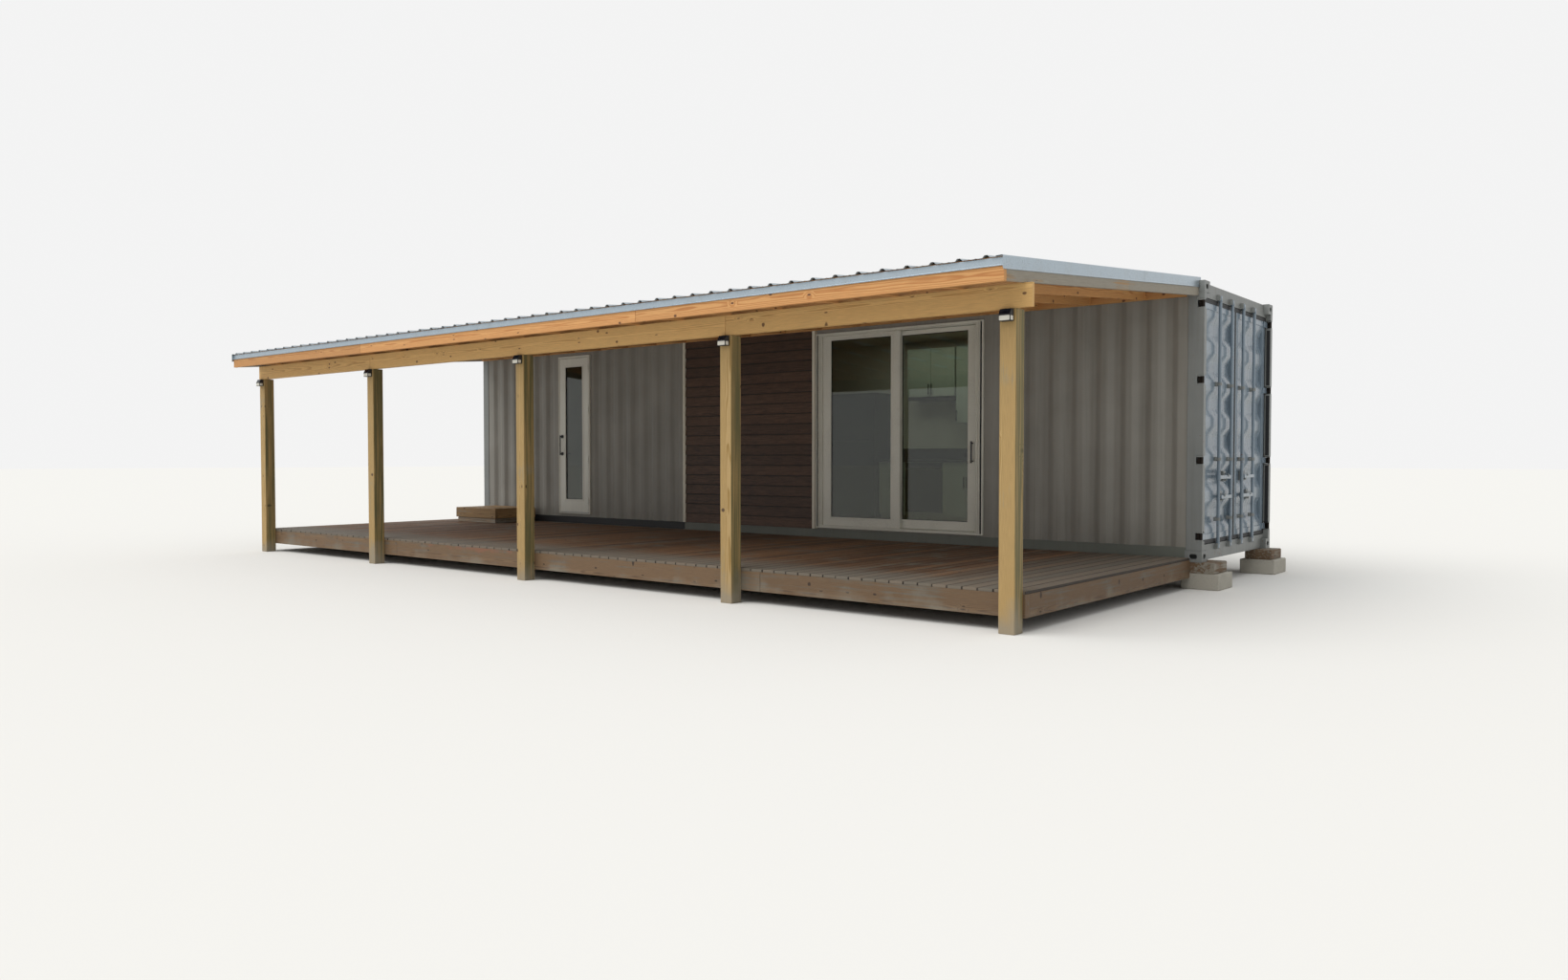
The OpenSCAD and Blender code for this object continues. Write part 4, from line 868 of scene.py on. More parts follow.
# Pitch and depth of the waves
SIDE_WAVE, END_WAVE, ROOF_WAVE = (0.278, 0.036), (0.25, 0.045), (0.209, 0.020)
CASTING_L, CASTING_W = 0.178, 0.162
SLIDER_SILL, ENTRY_SILL = 0.048, 0.108
WELD_FROM, WELD_CLEAR = 1.17, 0.4
WELD = [(-0.004, 0), (-0.0025, 0.0014), (0, 0.002), (0.0025, 0.0014), (0.004, 0)]

(post_side, _, WALL_LOW), (wall_end, _, WALL_HIGH) = near("rear_wall")
UP_THE_WALL = np.array([0, 0, WALL_HIGH - WALL_LOW])
WALL_IN = SHEET_INSET + SIDE_WAVE[1] + SHEET_T
entry_low, entry_high = near("entry_frame")
slider_low, slider_high = near("slider_frame")
strip_low = near("siding_trim")[0]
siding_low, siding_high = near("siding_panel")
skin_low, skin_high = near("container_roof")
entry_x0, entry_x1, head = entry_low[0], entry_high[0], entry_high[2]
floor_top = near("cabin_floor")[1][2]


def corrugation(length, pitch, depth):
    """(u, v) of a pressed sheet: flats at v = 0, waves down to -depth, rounded bends."""
    count = int(length / pitch)
    margin = (length - count * pitch) / 2
    u = margin + (np.arange(count)[:, None] + [0.13, 0.37, 0.63, 0.87]) * pitch
    line = np.stack([u, np.broadcast_to([0, -depth, -depth, 0], u.shape)], -1).reshape(-1, 2)
    return eased(np.concatenate([[(0, 0)], line, [(length, 0)]]), BEND_RADIUS, 4)


def wall(x0, x1, y, out):
    """A long side's sheet from x0 to x1, its flats at y, facing out along y."""
    return sheet(corrugation(x1 - x0, *SIDE_WAVE), SHEET_T, (x0, y, WALL_LOW), UP_THE_WALL,
                 up=(0, out, 0))


spans = [(post_side, entry_x0), (entry_x1, strip_low[0]), (slider_high[0], wall_end)]
end_sheet = sheet(corrugation(WIDTH - 2 * post_side, *END_WAVE), SHEET_T,
                  (SHEET_INSET, post_side, WALL_LOW), UP_THE_WALL, (0, 1, 0), (-1, 0, 0))
plates = [sheet(corrugation(skin_high[0] - CASTING_L, *ROOF_WAVE), SHEET_T,
                (CASTING_L, skin_low[1], skin_high[2]), (0, skin_high[1] - skin_low[1], 0)),
          sheet([(skin_low[0], 0), (CASTING_L + 0.004, 0)], SHEET_T,
                (0, CASTING_W, skin_high[2] - 0.0002), (0, WIDTH - 2 * CASTING_W, 0))]
for name, shape, node in (
        ("rear_wall_sheet", wall(post_side, wall_end, WIDTH - SHEET_INSET, 1), "rear_wall"),
        ("front_wall_sheets", joined([wall(a, b, SHEET_INSET, -1) for a, b in spans]),
         "front_wall"),
        ("plain_end_sheet", end_sheet, "end_wall"),
        ("roof_skin", joined(plates), "container_roof")):
    piece(name, shape, side_paint, stands_for=node)

# Box lintels over the openings, sill plates under them, and welds down the sheets' joints
lintels = [((x0, SHEET_INSET, z0), (x1, y1, z1)) for x0, z0, x1, y1, z1 in (
    (entry_x0, head, entry_x1, WALL_IN, WALL_HIGH),
    (strip_low[0], siding_high[2], slider_low[0], WALL_IN, WALL_HIGH),
    (slider_low[0], head, slider_high[0], WALL_IN, WALL_HIGH),
    (slider_low[0], WALL_LOW, slider_high[0], SLIDER_SILL, floor_top),
    (entry_x0, WALL_LOW, entry_x1, ENTRY_SILL, entry_low[2]))]
boards_in("lintels_and_sills", side_paint, lintels)
weld_x = [x for a, b in spans[1:]
          for x in np.arange(a + WELD_FROM, b - WELD_CLEAR, 4 * SIDE_WAVE[0])]
beads = [sheet(WELD, 0.0006, (x, SHEET_INSET, WALL_LOW), UP_THE_WALL - [0, 0, 0.002],
               up=(0, -1, 0)) for x in weld_x]
piece("wall_welds", joined(beads), side_paint)
# A black strip over the bottom rail beside the entry is painted shade
boards_in("rail_shade_strip", rubber, [((post_side, -0.0008, deck_high[2] + 0.002),
                                     (strip_low[0] + 0.02, 0.0024, WALL_LOW - 0.001))],
          ease=0.0008, slot="underside_paint")
print("walls ready,", len(weld_x), "weld seams on the front side")

# %% [markdown]
# The siding is wood-look boards lapped like clapboard: each course leans out over the one
# below, and its lower edge throws the thin shadow that the picture shows. A single wedge
# profile would do for the shadow but not for the joints, so the boards are laid one by one.

# %% Lap siding and its pale strips
COURSE, COURSE_LAP, SIDING_T = 0.139, 0.022, 0.016
BUTT_OUT, THIN_OUT, SIDING_BACK = -0.008, 0.011, 0.048


def siding_finish(name, foot, course):
    """Embossed siding: dark brown stain over a pressed grain that runs along each board.
    Dirt and painted shade darken it where fract((z - foot) / course) nears 1, under the next
    board's lower edge."""
    m, n = finish_of(name)
    log = n("Attribute", attribute_name="grain").outputs["Vector"]
    tone = n("SeparateXYZ", n("Attribute", attribute_name="tone").outputs["Vector"])
    # The grain is 13 mm wide and 200 mm long, and its ticks are 4 mm wide and 70 mm long
    press = n("TexNoise", n("Mapping", log, Scale=(5, 75, 75)), Scale=1, Detail=4, Distortion=0.6)
    tick = n("TexNoise", n("Mapping", log, Scale=(14, 240, 240)), Scale=1, Detail=2)
    tick = n("MapRange", tick, 0.60, 0.70)
    base = n("ValToRGB", press, stops=[(0.30, "#3c2a20"), (0.70, "#5d4433")])
    base = n("Mix RGBA", tick, base, "#201511")
    base = n("Mix RGBA", 1.0, base, n("MapRange", tone, 0, 1, 0.80, 1.18), blend_type="MULTIPLY")
    z = n("SeparateXYZ", n("TexCoord").outputs["Object"]).outputs["Z"]
    # Dirt and painted shade: a dark band at the top of each course, under the next board's lower
    # edge
    dirt = n("Math FRACT", n("Math MULTIPLY_ADD", z, 1 / course, -foot / course))
    base = n("Mix RGBA", n("MapRange", dirt, 0.86, 0.95, 0, 0.85), base, "#100b08")
    lift = n("Math MULTIPLY_ADD", tick, -0.6, press)
    bump = n("Bump", Height=lift, Strength=0.7, Distance=0.0012)
    n("OutputMaterial", Surface=n("BsdfPrincipled", base, Roughness=0.62, Normal=bump))
    return m


# Stain lies dark in the pressed grain, and the brushed cream paint beside it is nearly even
siding_stain = siding_finish("embossed_siding_stained", siding_low[2], COURSE)
cream = painted("brushed_cream_paint", "#d9d3c2", "#d1cbb9", 0.45, 0.15, swell=0.05)
lean = np.array([0, THIN_OUT - BUTT_OUT, COURSE])
lean /= np.linalg.norm(lean)
inward = np.array([0, lean[2], -lean[1]])
butts = np.arange(siding_low[2], siding_high[2] - 0.03, COURSE)
face = np.minimum(COURSE + COURSE_LAP, (siding_high[2] - butts) / lean[2])
middle = np.stack([0 * butts, BUTT_OUT + 0 * butts, butts], 1) + lean * face[:, None] / 2 \
    + inward * SIDING_T / 2
boards("siding_courses", siding_stain, middle + [siding_low[0] + 0.002, 0, 0],
       middle + [siding_high[0] - 0.002, 0, 0], lean, face, SIDING_T, ease=0.0022, spans=4,
       stands_for="siding_panel")
boards_in("siding_backing", siding_stain, [((siding_low[0], 0.026, WALL_LOW),
                                            (siding_high[0], SIDING_BACK, siding_high[2]))])
strip_w = siding_low[0] - strip_low[0]
strips = [((x, y, WALL_LOW), (end, SIDING_BACK, siding_high[2])) for x, y, end in (
    (strip_low[0], strip_low[1], strip_low[0] + strip_w),
    (siding_high[0], strip_low[1], siding_high[0] + strip_w),
    (siding_high[0] + strip_w + 0.0005, 0.024, slider_low[0]))]
boards_in("siding_edge_strips", cream, strips, stands_for="siding_trim")
print("siding courses:", len(butts))

# %% [markdown]
# Windows and doors are mostly frames inside frames: lips, glazing beads, black gaskets. Each
# of them is one outline carried round a rectangle and mitred at the corners, so a single
# function makes them all; only the outline changes. The heavy frame under them stays the
# CAD's, rounded.

# %% Mitred frames
def moulding(low, high, axis, profile):
    """(points, quads) of a closed profile round a rectangle from low to high. A profile point
    (u, v) lies u outside the rectangle's edge and v further along axis than low does."""
    u, v = np.transpose(profile)
    points = np.empty((4, len(u), 3))
    points[..., axis] = low[axis] + v
    others = [k for k in range(3) if k != axis]
    for k, side in zip(others, np.array([(-1, 1, 1, -1), (-1, -1, 1, 1)])[..., None]):
        points[..., k] = np.where(side > 0, high[k], low[k]) + side * u
    # The fifth row of points is the first one again
    return outward(points.reshape(-1, 3), strip_faces(5, len(u)) % (4 * len(u)))


def loop(u0, u1, v0, v1, ease=0.0015):
    """Outline of a rectangle from (u0, v0) to (u1, v1) with its corners cut by ease."""
    (u0, u1), (v0, v1), e = sorted((u0, u1)), sorted((v0, v1)), ease
    return [(u0 + e, v0), (u1 - e, v0), (u1, v0 + e), (u1, v1 - e), (u1 - e, v1), (u0 + e, v1),
            (u0, v1 - e), (u0, v0 + e)]


def flipped(profile, depth):
    """The profile seen from the other face of something so deep."""
    return [(u, depth - v) for u, v in profile]


BEAD = [(-0.008, 0.0100), (-0.008, -0.002), (-0.005, -0.006), (0.006, -0.0085),
        (0.013, -0.007), (0.016, -0.003), (0.016, 0.001), (0.001, 0.001), (0.001, 0.0100)]
FLUSH_BEAD = [(-0.008, 0.0100), (-0.008, 0.003), (-0.002, 0.0005), (0.001, 0.0005),
              (0.001, 0.0100)]
GASKET = loop(-0.0115, -0.006, 0.0065, 0.0100, 0.001)
SPACER = loop(-0.016, -0.004, 0.013, 0.019, 0.001)
print("mitred frames ready")

# %% Vinyl, aluminium and glass
# Extruded vinyl is off-white with a low sheen, door enamel is glossier, aluminium satin
vinyl = plain_surface("extruded_white_vinyl", "white_vinyl", "#d6d4c8", 0.34, "#8a8478", 0.22,
                      60.0, 0.0001)
leaf_paint = painted("sprayed_door_leaf_enamel", "#dad9ce", "#d4d3c8", 0.30, 0.08,
                     swell=0.04)
mill_metal = metal("extruded_aluminium", "#b4b5b4", 0.35, share=0.2)

# Float glass: a green tint in its depth, and a film of dust that dulls it in patches 170 mm
# wide and 500 mm tall
pane_glass, n = finish_of("float_glass_tinted")
film = n("TexNoise", n("Mapping", n("TexCoord").outputs["Object"], Scale=(3, 3, 1)), Scale=2,
         Detail=6)
film = n("MapRange", film, 0.45, 0.85, 0, 0.05)
glass = n("BsdfPrincipled", "#a1ac9a", Roughness=0, Transmission_Weight=1)
n("OutputMaterial", Surface=n("MixShader", film, glass, n("BsdfDiffuse", "#8f9a80")))
for name in ("entry_glass", "slider_fixed_glass", "sliding_glass"):
    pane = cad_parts[name].data
    pane.materials.clear()
    pane.materials.append(pane_glass)


def glazing(name, glass_node, front, back, material, body, beads=(BEAD, BEAD)):
    """Beads, gaskets and spacer of one pane, on both faces of a leaf from front to back."""
    low, high = near(glass_node)
    low[1], deep = front, back - front
    for part, profiles, finish in (
            ("beads", (beads[0], flipped(beads[1], deep)), material),
            ("gaskets", (GASKET, flipped(GASKET, deep), SPACER), rubber)):
        piece(f"{name}_{part}", joined([moulding(low, high, 1, p) for p in profiles]), finish,
              body)


print("glass and vinyl ready")

# %% Entry door
LEAF_FRONT, LEAF_T, JAMB_IN = -0.012, 0.045, 0.029
HINGE_LEVELS = BASE + np.array([0.390, 1.050, 1.820, 2.500])

for name, material, width, body in (("entry_frame", vinyl, 0.002, "cabin"),
                                    ("entry_door", leaf_paint, 0.002, "entry_leaf"),
                                    ("entry_handle", black_coat, 0.0015, "entry_leaf")):
    softened(name, material, width, body, angle=40)
glazing("entry", "entry_glass", LEAF_FRONT, LEAF_FRONT + LEAF_T, leaf_paint, "entry_leaf")
piece("entry_frame_lip", moulding((entry_x0, LEAF_FRONT, entry_low[2]), entry_high, 1,
                                  loop(-0.009, 0, 0.001, -0.006)), vinyl)
boards_in("entry_threshold", mill_metal, ease=0.0015, boxes=[
    ((entry_x0 + JAMB_IN, LEAF_FRONT - 0.014, entry_low[2] + 0.018),
     (entry_x1 - JAMB_IN, 0.100, entry_low[2] + 0.0238))])
screws = [(entry_x1 - 0.052, LEAF_FRONT - 0.0025, z + s) for z in HINGE_LEVELS
          for s in (-0.026, 0, 0.026)]
studs("entry_hinge_screws", zinc, screws, (0, -1, 0),
      [(0.0038, -0.0008), (0.0038, 0.0004), (0.0024, 0.0010)], sides=12, body="entry_leaf")
print("entry door ready")

# %% Sliding door
SASH_T = 0.040
LIP_SIDE, LIP_FOOT, LIP_HEAD = 0.100, 0.034, 0.040

softened("slider_frame", vinyl, 0.002)
softened("slider_fixed_sash", vinyl)
softened("sliding_sash", vinyl, body="slider_leaf")
softened("sliding_handle", black_coat, body="slider_leaf", angle=40)
# The faces that pass each other have flush beads
for name, node, pane, body, beads in (
        ("fixed_sash", "slider_fixed_sash", "slider_fixed_glass", "cabin", (BEAD, FLUSH_BEAD)),
        ("moving_sash", "sliding_sash", "sliding_glass", "slider_leaf", (FLUSH_BEAD, BEAD))):
    front = near(node)[0][1]
    glazing(name, pane, front, front + SASH_T, vinyl, body, beads)

(x0, slider_front, z0), (x1, _, z1) = slider_low, slider_high
lips = [moulding(slider_low, slider_high, 1, loop(-0.013, 0, 0.001, -0.013)),
        moulding((x0 + LIP_SIDE, slider_front, z0 + LIP_FOOT),
                 (x1 - LIP_SIDE, 0, z1 - LIP_HEAD), 1, loop(0.001, 0.009, 0.001, -0.008))]
piece("slider_frame_lips", joined(lips), vinyl)
# The black screen-track piles are wide, so that they also stand for painted shade in the track
for name, material, ease, strips in (
        ("slider_jamb_ribs", vinyl, 0.0015, ((0.040, 0.049, 0.015), (0.066, 0.074, 0.010))),
        ("screen_track_piles_and_shade", rubber, 0.0004, ((0.0145, 0.0385, 0.0012),))):
    # A strip is told by its near and far side from the frame's edge and how far it stands out
    boxes = [((min(a, b), slider_front - out, z0 + 0.015),
              (max(a, b), slider_front + 0.001, z1 - 0.015))
             for x, side in ((x0, 1), (x1, -1))
             for a, b, out in ((x + side * p, x + side * q, out) for p, q, out in strips)]
    boards_in(name, material, boxes, ease=ease)
print("sliding door ready")

# %% [markdown]
# Behind the glass are pale linings, a plywood floor and a small kitchen, seen from some
# metres away. The kitchen's fronts are plain eased slabs with real gaps between them, with
# bar handles, a dark worktop, an oven and a hood.

# %% Linings and floor
# Rolled wall paint is matt and even, and peeled plywood shows broad wandering rings
board_paint = plain_surface("rolled_wall_paint", "lining", "#cfcac0", 0.75, "#a9a49a", 0.1,
                            500.0, 0.0002)
ply = pine("rotary_cut_plywood", "#a98a62", "#8c6d47", "#5f452c", ring_mm=9,
           rough=0.45, relief=0.15)
for name in ("wall_lining", "ceiling_lining"):
    softened(name, board_paint, 0.0015, segments=1)
floor_low, floor_high = near("cabin_floor")
sheets_x = np.linspace(floor_low[0], floor_high[0], 11)
ply_boxes = [((a + 0.0008, *floor_low[1:]), (b - 0.0008, *floor_high[1:]))
             for a, b in zip(sheets_x, sheets_x[1:])]
boards_in("floor_sheets", ply, ply_boxes, ease=0.001, stands_for="cabin_floor")
print("floor sheets:", len(ply_boxes))

# %% Kitchen
FRONT_T, GAP, PLINTH, PLINTH_BACK = 0.020, 0.0025, 0.100, 0.050
WORKTOP_Z, WORKTOP_T, NOSING, UPSTAND = 0.890, 0.038, 0.020, 0.158
BASE_DEEP, OVEN_AT, OVEN_WIDE, HUNG_FROM = 0.610, 0.455, 0.600, 1.2
# Where the fronts of a unit meet, as shares of its height
BASE_ROWS, TALL_ROWS, ONE_ROW = (0, 0.78, 1), (0, 0.62, 1), (0, 1)
HANDLE_L, HANDLE_OUT, HANDLE_IN = 0.150, 0.030, 0.024
# How far a handle's foot is above its unit's foot
BASE_GRIP, HUNG_GRIP = 0.400, 0.030

# Lacquered fronts shine softly, cast stone is dark and polished, the oven's glass near black
unit_paint = plain_surface("sprayed_cabinet_lacquer", "cabinet_paint", "#a7aea4", 0.30,
                           "#7d827a", 0.08, 300.0, 0.0001)
worktop_stone = plain_surface("cast_worktop_stone", "cabinet_paint", "#2e2d2b", 0.22,
                              "#121211", 0.5, 160.0, 0.0001)
black_gloss = plain_surface("ground_black_glass", "black_metal", "#0e0f10", 0.08, share=0,
                            depth=0.00002)
dark_steel = metal("brushed_dark_steel", "#4a4b4c", 0.32, share=0.1, grain=300)
units = solids_of("kitchen_units")
tall = units[units[:, 0, 0].argmin()]
base_run = next(u for u in units if u[0, 2] < floor_top + 0.01 and u[0, 0] > tall[1, 0])
hung = [u for u in units if u[0, 2] > floor_top + HUNG_FROM]
top_z = floor_top + WORKTOP_Z
plinth_top, under_top = floor_top + PLINTH, top_z - WORKTOP_T
back_y = near("kitchen_units")[1][1]
base_y = back_y - BASE_DEEP
base_x0, base_x1 = base_run[:, 0]
oven_x0, oven_x1 = base_x0 + OVEN_AT, base_x0 + OVEN_AT + OVEN_WIDE


def fronts(low, high, columns, rows):
    """Slab fronts of a unit's front face: equal columns, rows at shares of its height."""
    x = np.linspace(low[0], high[0], columns + 1)
    z = low[2] + np.array(rows) * (high[2] - low[2])
    return [((a + GAP, low[1], c + GAP), (b - GAP, low[1] + FRONT_T, d - GAP))
            for a, b in zip(x, x[1:]) for c, d in zip(z, z[1:])]


carcass = [((base_x0, base_y + FRONT_T + 0.001, plinth_top), (base_x1, back_y, under_top)),
           ((base_x0, base_y + PLINTH_BACK, floor_top), (base_x1, back_y, plinth_top))]
slabs, bar_at = [], []
# Handles meet in pairs, from the first door on or, with lead = 1, from the second
for low, high, columns, lead, rows, up in (
        ((base_x0, base_y, plinth_top), (oven_x0, back_y, under_top), 1, 0, BASE_ROWS, BASE_GRIP),
        ((oven_x1, base_y, plinth_top), (base_x1, back_y, under_top), 4, 0, BASE_ROWS, BASE_GRIP),
        (*hung[0], 2, 0, ONE_ROW, HUNG_GRIP), (*hung[1], 3, 1, ONE_ROW, HUNG_GRIP)):
    if low[2] > under_top:
        carcass.append(((low[0], low[1] + FRONT_T + 0.001, low[2]), high))
    slabs += fronts(low, high, columns, rows)
    edge = np.linspace(low[0], high[0], columns + 1)
    for k in range(columns):
        grip = edge[k] + HANDLE_IN if (k + lead) % 2 else edge[k + 1] - HANDLE_IN
        bar_at.append((grip, low[1] - HANDLE_OUT, low[2] + up))
boards_in("kitchen_carcass", unit_paint, carcass, ease=0.002, stands_for="kitchen_units")
boards_in("kitchen_fronts", unit_paint, slabs)
boards_in("worktop", worktop_stone, [
    ((base_x0, base_y - NOSING, under_top), (base_x1, back_y, top_z)),
    ((base_x0, back_y - 0.014, top_z + 0.0005), (base_x1, back_y - 0.0005, top_z + UPSTAND))])
tall_doors = fronts(tall[0] + [0, 0, 0.03], tall[1], 1, TALL_ROWS)
boards_in("tall_unit", dark_steel, ease=0.005, boxes=[
    (tall[0] + [0, 0.06, 0], tall[1]), *((a, b + np.array([0, 0.035, 0])) for a, b in tall_doors)])
hood_low, hood_high = hung[0]
boards_in("oven_hob_and_hood", black_gloss, [
    ((oven_x0 + GAP, base_y - 0.004, plinth_top + 0.05),
     (oven_x1 - GAP, base_y + 0.016, under_top - 0.10)),
    ((oven_x0 + GAP, base_y - 0.002, under_top - 0.095),
     (oven_x1 - GAP, base_y + 0.016, under_top - 0.004)),
    ((oven_x0 + 0.02, base_y + 0.04, top_z), (oven_x1 - 0.02, back_y - 0.06, top_z + 0.006)),
    ((hood_low[0] + 0.002, hood_low[1] + 0.02, hood_low[2] - 0.052),
     (hood_high[0] - 0.002, back_y - 0.01, hood_low[2] - 0.0005))])
studs("kitchen_handles", black_coat, bar_at, (0, 0, 1), [(0.005, 0), (0.0075, 0.002),
      (0.0075, HANDLE_L - 0.002), (0.005, HANDLE_L)], sides=10)
studs("kitchen_handle_feet", black_coat, [(x, y, z + s) for x, y, z in bar_at
                                          for s in (0.02, 0.13)], (0, 1, 0),
      [(0.0045, 0), (0.0045, HANDLE_OUT + 0.001)])
print("kitchen fronts:", len(slabs), "handles:", len(bar_at))

# %% [markdown]
# Each cargo door is a rolled frame with a panel pressed into level waves. Four blade hinges
# turn on pins in the corner post, a black rubber seal runs round the edge, and two lock bars
# with cams at both ends, bearing straps and a flat handle close it. The rear leaf is the
# mirror image, so every shape is made once and mirrored by swapping y for the width minus y.

# %% Cargo door leaves
POST_W, LEAF_GAP, STILE = 0.072, 0.006, 0.100
LEAF_X0, LEAF_X1 = 12.080, 12.130
HINGE_X, HINGE_Y, BLADE_HALF = 12.172, 0.020, 0.035
PANEL_WAVE, PANEL_LAP, SEAL_LAND = (0.392, 0.032), 0.004, 0.016
SEAL_LIP = [(-0.015, 0.0005), (-0.015, 0.003), (-0.012, 0.005), (0.002, 0.005), (0.0045, 0.003),
            (0.0045, -0.030), (0.0005, -0.030), (0.0005, 0.0005)]
UP = (0, 0, 1)
leaf_z0, leaf_z1 = floor_top + 0.012, TOP - 0.162
leaf_y0, leaf_y1 = POST_W + LEAF_GAP, WIDTH / 2 - LEAF_GAP / 2
leaf_low, leaf_high = (LEAF_X0, leaf_y0, leaf_z0), (LEAF_X1, leaf_y1, leaf_z1)
hinge_levels = BASE + np.array([0.267, 1.050, 1.880, 2.660])


def mirrored(points):
    """The points on the other side of the container's middle."""
    return points * [1, -1, 1] + [0, WIDTH, 0]


def leaf_parts(name, shapes, material, stands_for=None):
    """The parts of one leaf, and their mirror image for the other leaf."""
    points, quads = joined(shapes)
    for end, shape in (("front", (points, quads)), ("rear", (mirrored(points), quads[:, ::-1]))):
        piece(f"{name}_{end}", shape, material, f"cargo_leaf_{end}",
              stands_for and f"{stands_for}_{end}")


def block(low, high, ease=0.003):
    """(points, quads) of an eased box: a closed outline in y and z, drawn in at both ends."""
    low, high = np.array([low, high])
    size = high - low
    ease = min(ease, *size / 2.2)
    ring = eased_section(size[1:2], size[2:], ease)[0]
    inset = np.array([1, 0.3, 0, 0, 0.3, 1])[:, None, None] * ease
    x = np.repeat([low[0], high[0]], 3) + np.array([0, 0.3, 1, -1, -0.3, 0]) * ease
    flat = (low + high)[1:] / 2 + ring - np.sign(ring) * inset
    across = np.broadcast_to(x[:, None, None], flat[..., :1].shape)
    return capped(np.concatenate([across, flat], -1))


def rod(foot, axis, radius, length, ease=0.0015):
    """(points, quads) of a round bar of 24 sides whose two rims are drawn in by ease."""
    rings = [(radius - ease, 0), (radius, ease), (radius, length - ease), (radius - ease, length)]
    return capped(turned(foot, axis, rings, 24)[0])


ring = moulding(leaf_low, leaf_high, 0, loop(-STILE, 0, 0, LEAF_X1 - LEAF_X0, 0.004))
hole = leaf_high - np.array(leaf_low) - 2 * STILE + 2 * PANEL_LAP
panel = sheet(corrugation(hole[2], *PANEL_WAVE), SHEET_T,
              (LEAF_X1 - 0.008, leaf_y0 + STILE - PANEL_LAP, leaf_z0 + STILE - PANEL_LAP),
              (0, hole[1], 0), UP, (1, 0, 0))
blades, pivots = [], []
for z in hinge_levels:
    low, high = z - BLADE_HALF, z + BLADE_HALF
    pivots += [rod((HINGE_X, HINGE_Y, low), UP, 0.018, 2 * BLADE_HALF),
               block((LEAF_X1 - 0.001, 0.013, low + 0.0005), (12.166, 0.027, high - 0.0005))]
    blades.append(block((LEAF_X1 - 0.0015, 0.0135, low + 0.001),
                        (LEAF_X1 + 0.014, leaf_y0 + 0.070, high - 0.001)))
leaf_parts("cargo_leaf", [ring, panel, *blades], door_coat, "cargo_door")
# The hinge barrels are near black as painted shade of the notches in the corner post, with dirt in
# spots
barrel_shade_steel = metal("steel_barrels_painted_shade", "#2b2724", 0.45, "#1a1512", 0.8)
leaf_parts("hinge_barrels", pivots, barrel_shade_steel)

# Broad black flaps at head and foot, partly seal and partly painted shade of the recess there,
# and black strips on the posts between the hinges that are painted shade
seal_lip_and_shade_flaps = [moulding((LEAF_X1, leaf_y0, leaf_z0), leaf_high, 0, SEAL_LIP)]
for a, b in ((leaf_z0 + 0.0155, leaf_z0 + 0.038), (leaf_z1 - 0.038, leaf_z1 - 0.0155)):
    seal_lip_and_shade_flaps.append(block((LEAF_X1 + 0.0004, leaf_y0 + SEAL_LAND, a),
                       (LEAF_X1 + 0.0042, leaf_y1 - SEAL_LAND, b), 0.0015))
leaf_parts("door_seal_and_shade", seal_lip_and_shade_flaps, rubber)
ends = [leaf_z0 + 0.06, *hinge_levels[1:-1], leaf_z1 - 0.08]
strips = [((LEAF_X1 + 0.017, y - 0.0009, a + 0.06), (LEAF_X1 + 0.058, y + 0.0009, b - 0.06))
          for y in (POST_W + 0.0009, WIDTH - POST_W - 0.0009) for a, b in zip(ends, ends[1:])]
boards_in("post_shade_strips", rubber, strips, ease=0.0006)
print("leaf", round(leaf_y1 - leaf_y0, 3), "x", round(leaf_z1 - leaf_z0, 3), "m")

# %% Lock bars, cams, straps and handles
BAR_X, BAR_R, BAR_PAST = LEAF_X1 + 0.030, 0.017, 0.040
HANDLE_REACH, HANDLE_TIP, CATCH_AT = 0.360, 0.345, 0.265
BAR_Y, GRIP_Z = WIDTH / 2 - np.array([0.610, 0.200]), BASE + np.array([0.872, 0.658])
STRAP_Z = BASE + np.array([0.423, 1.065, 1.866])
arch = np.linspace(math.pi, 0, 9)
STRAP_LINE = [(-0.044, 0.0035), (-0.0228, 0.0035),
              *(np.stack([np.cos(arch), np.sin(arch)], 1) * (BAR_R + 0.0055) + [0, 0.022]),
              (0.0228, 0.0035), (0.044, 0.0035)]
HOOK_LINE = eased([(0.0, 0), (0.044, 0), (0.052, -0.008), (0.052, -0.030)], 0.006)
bars, grips, straps, catches, bolts, hook_bolts = ([] for _ in range(6))

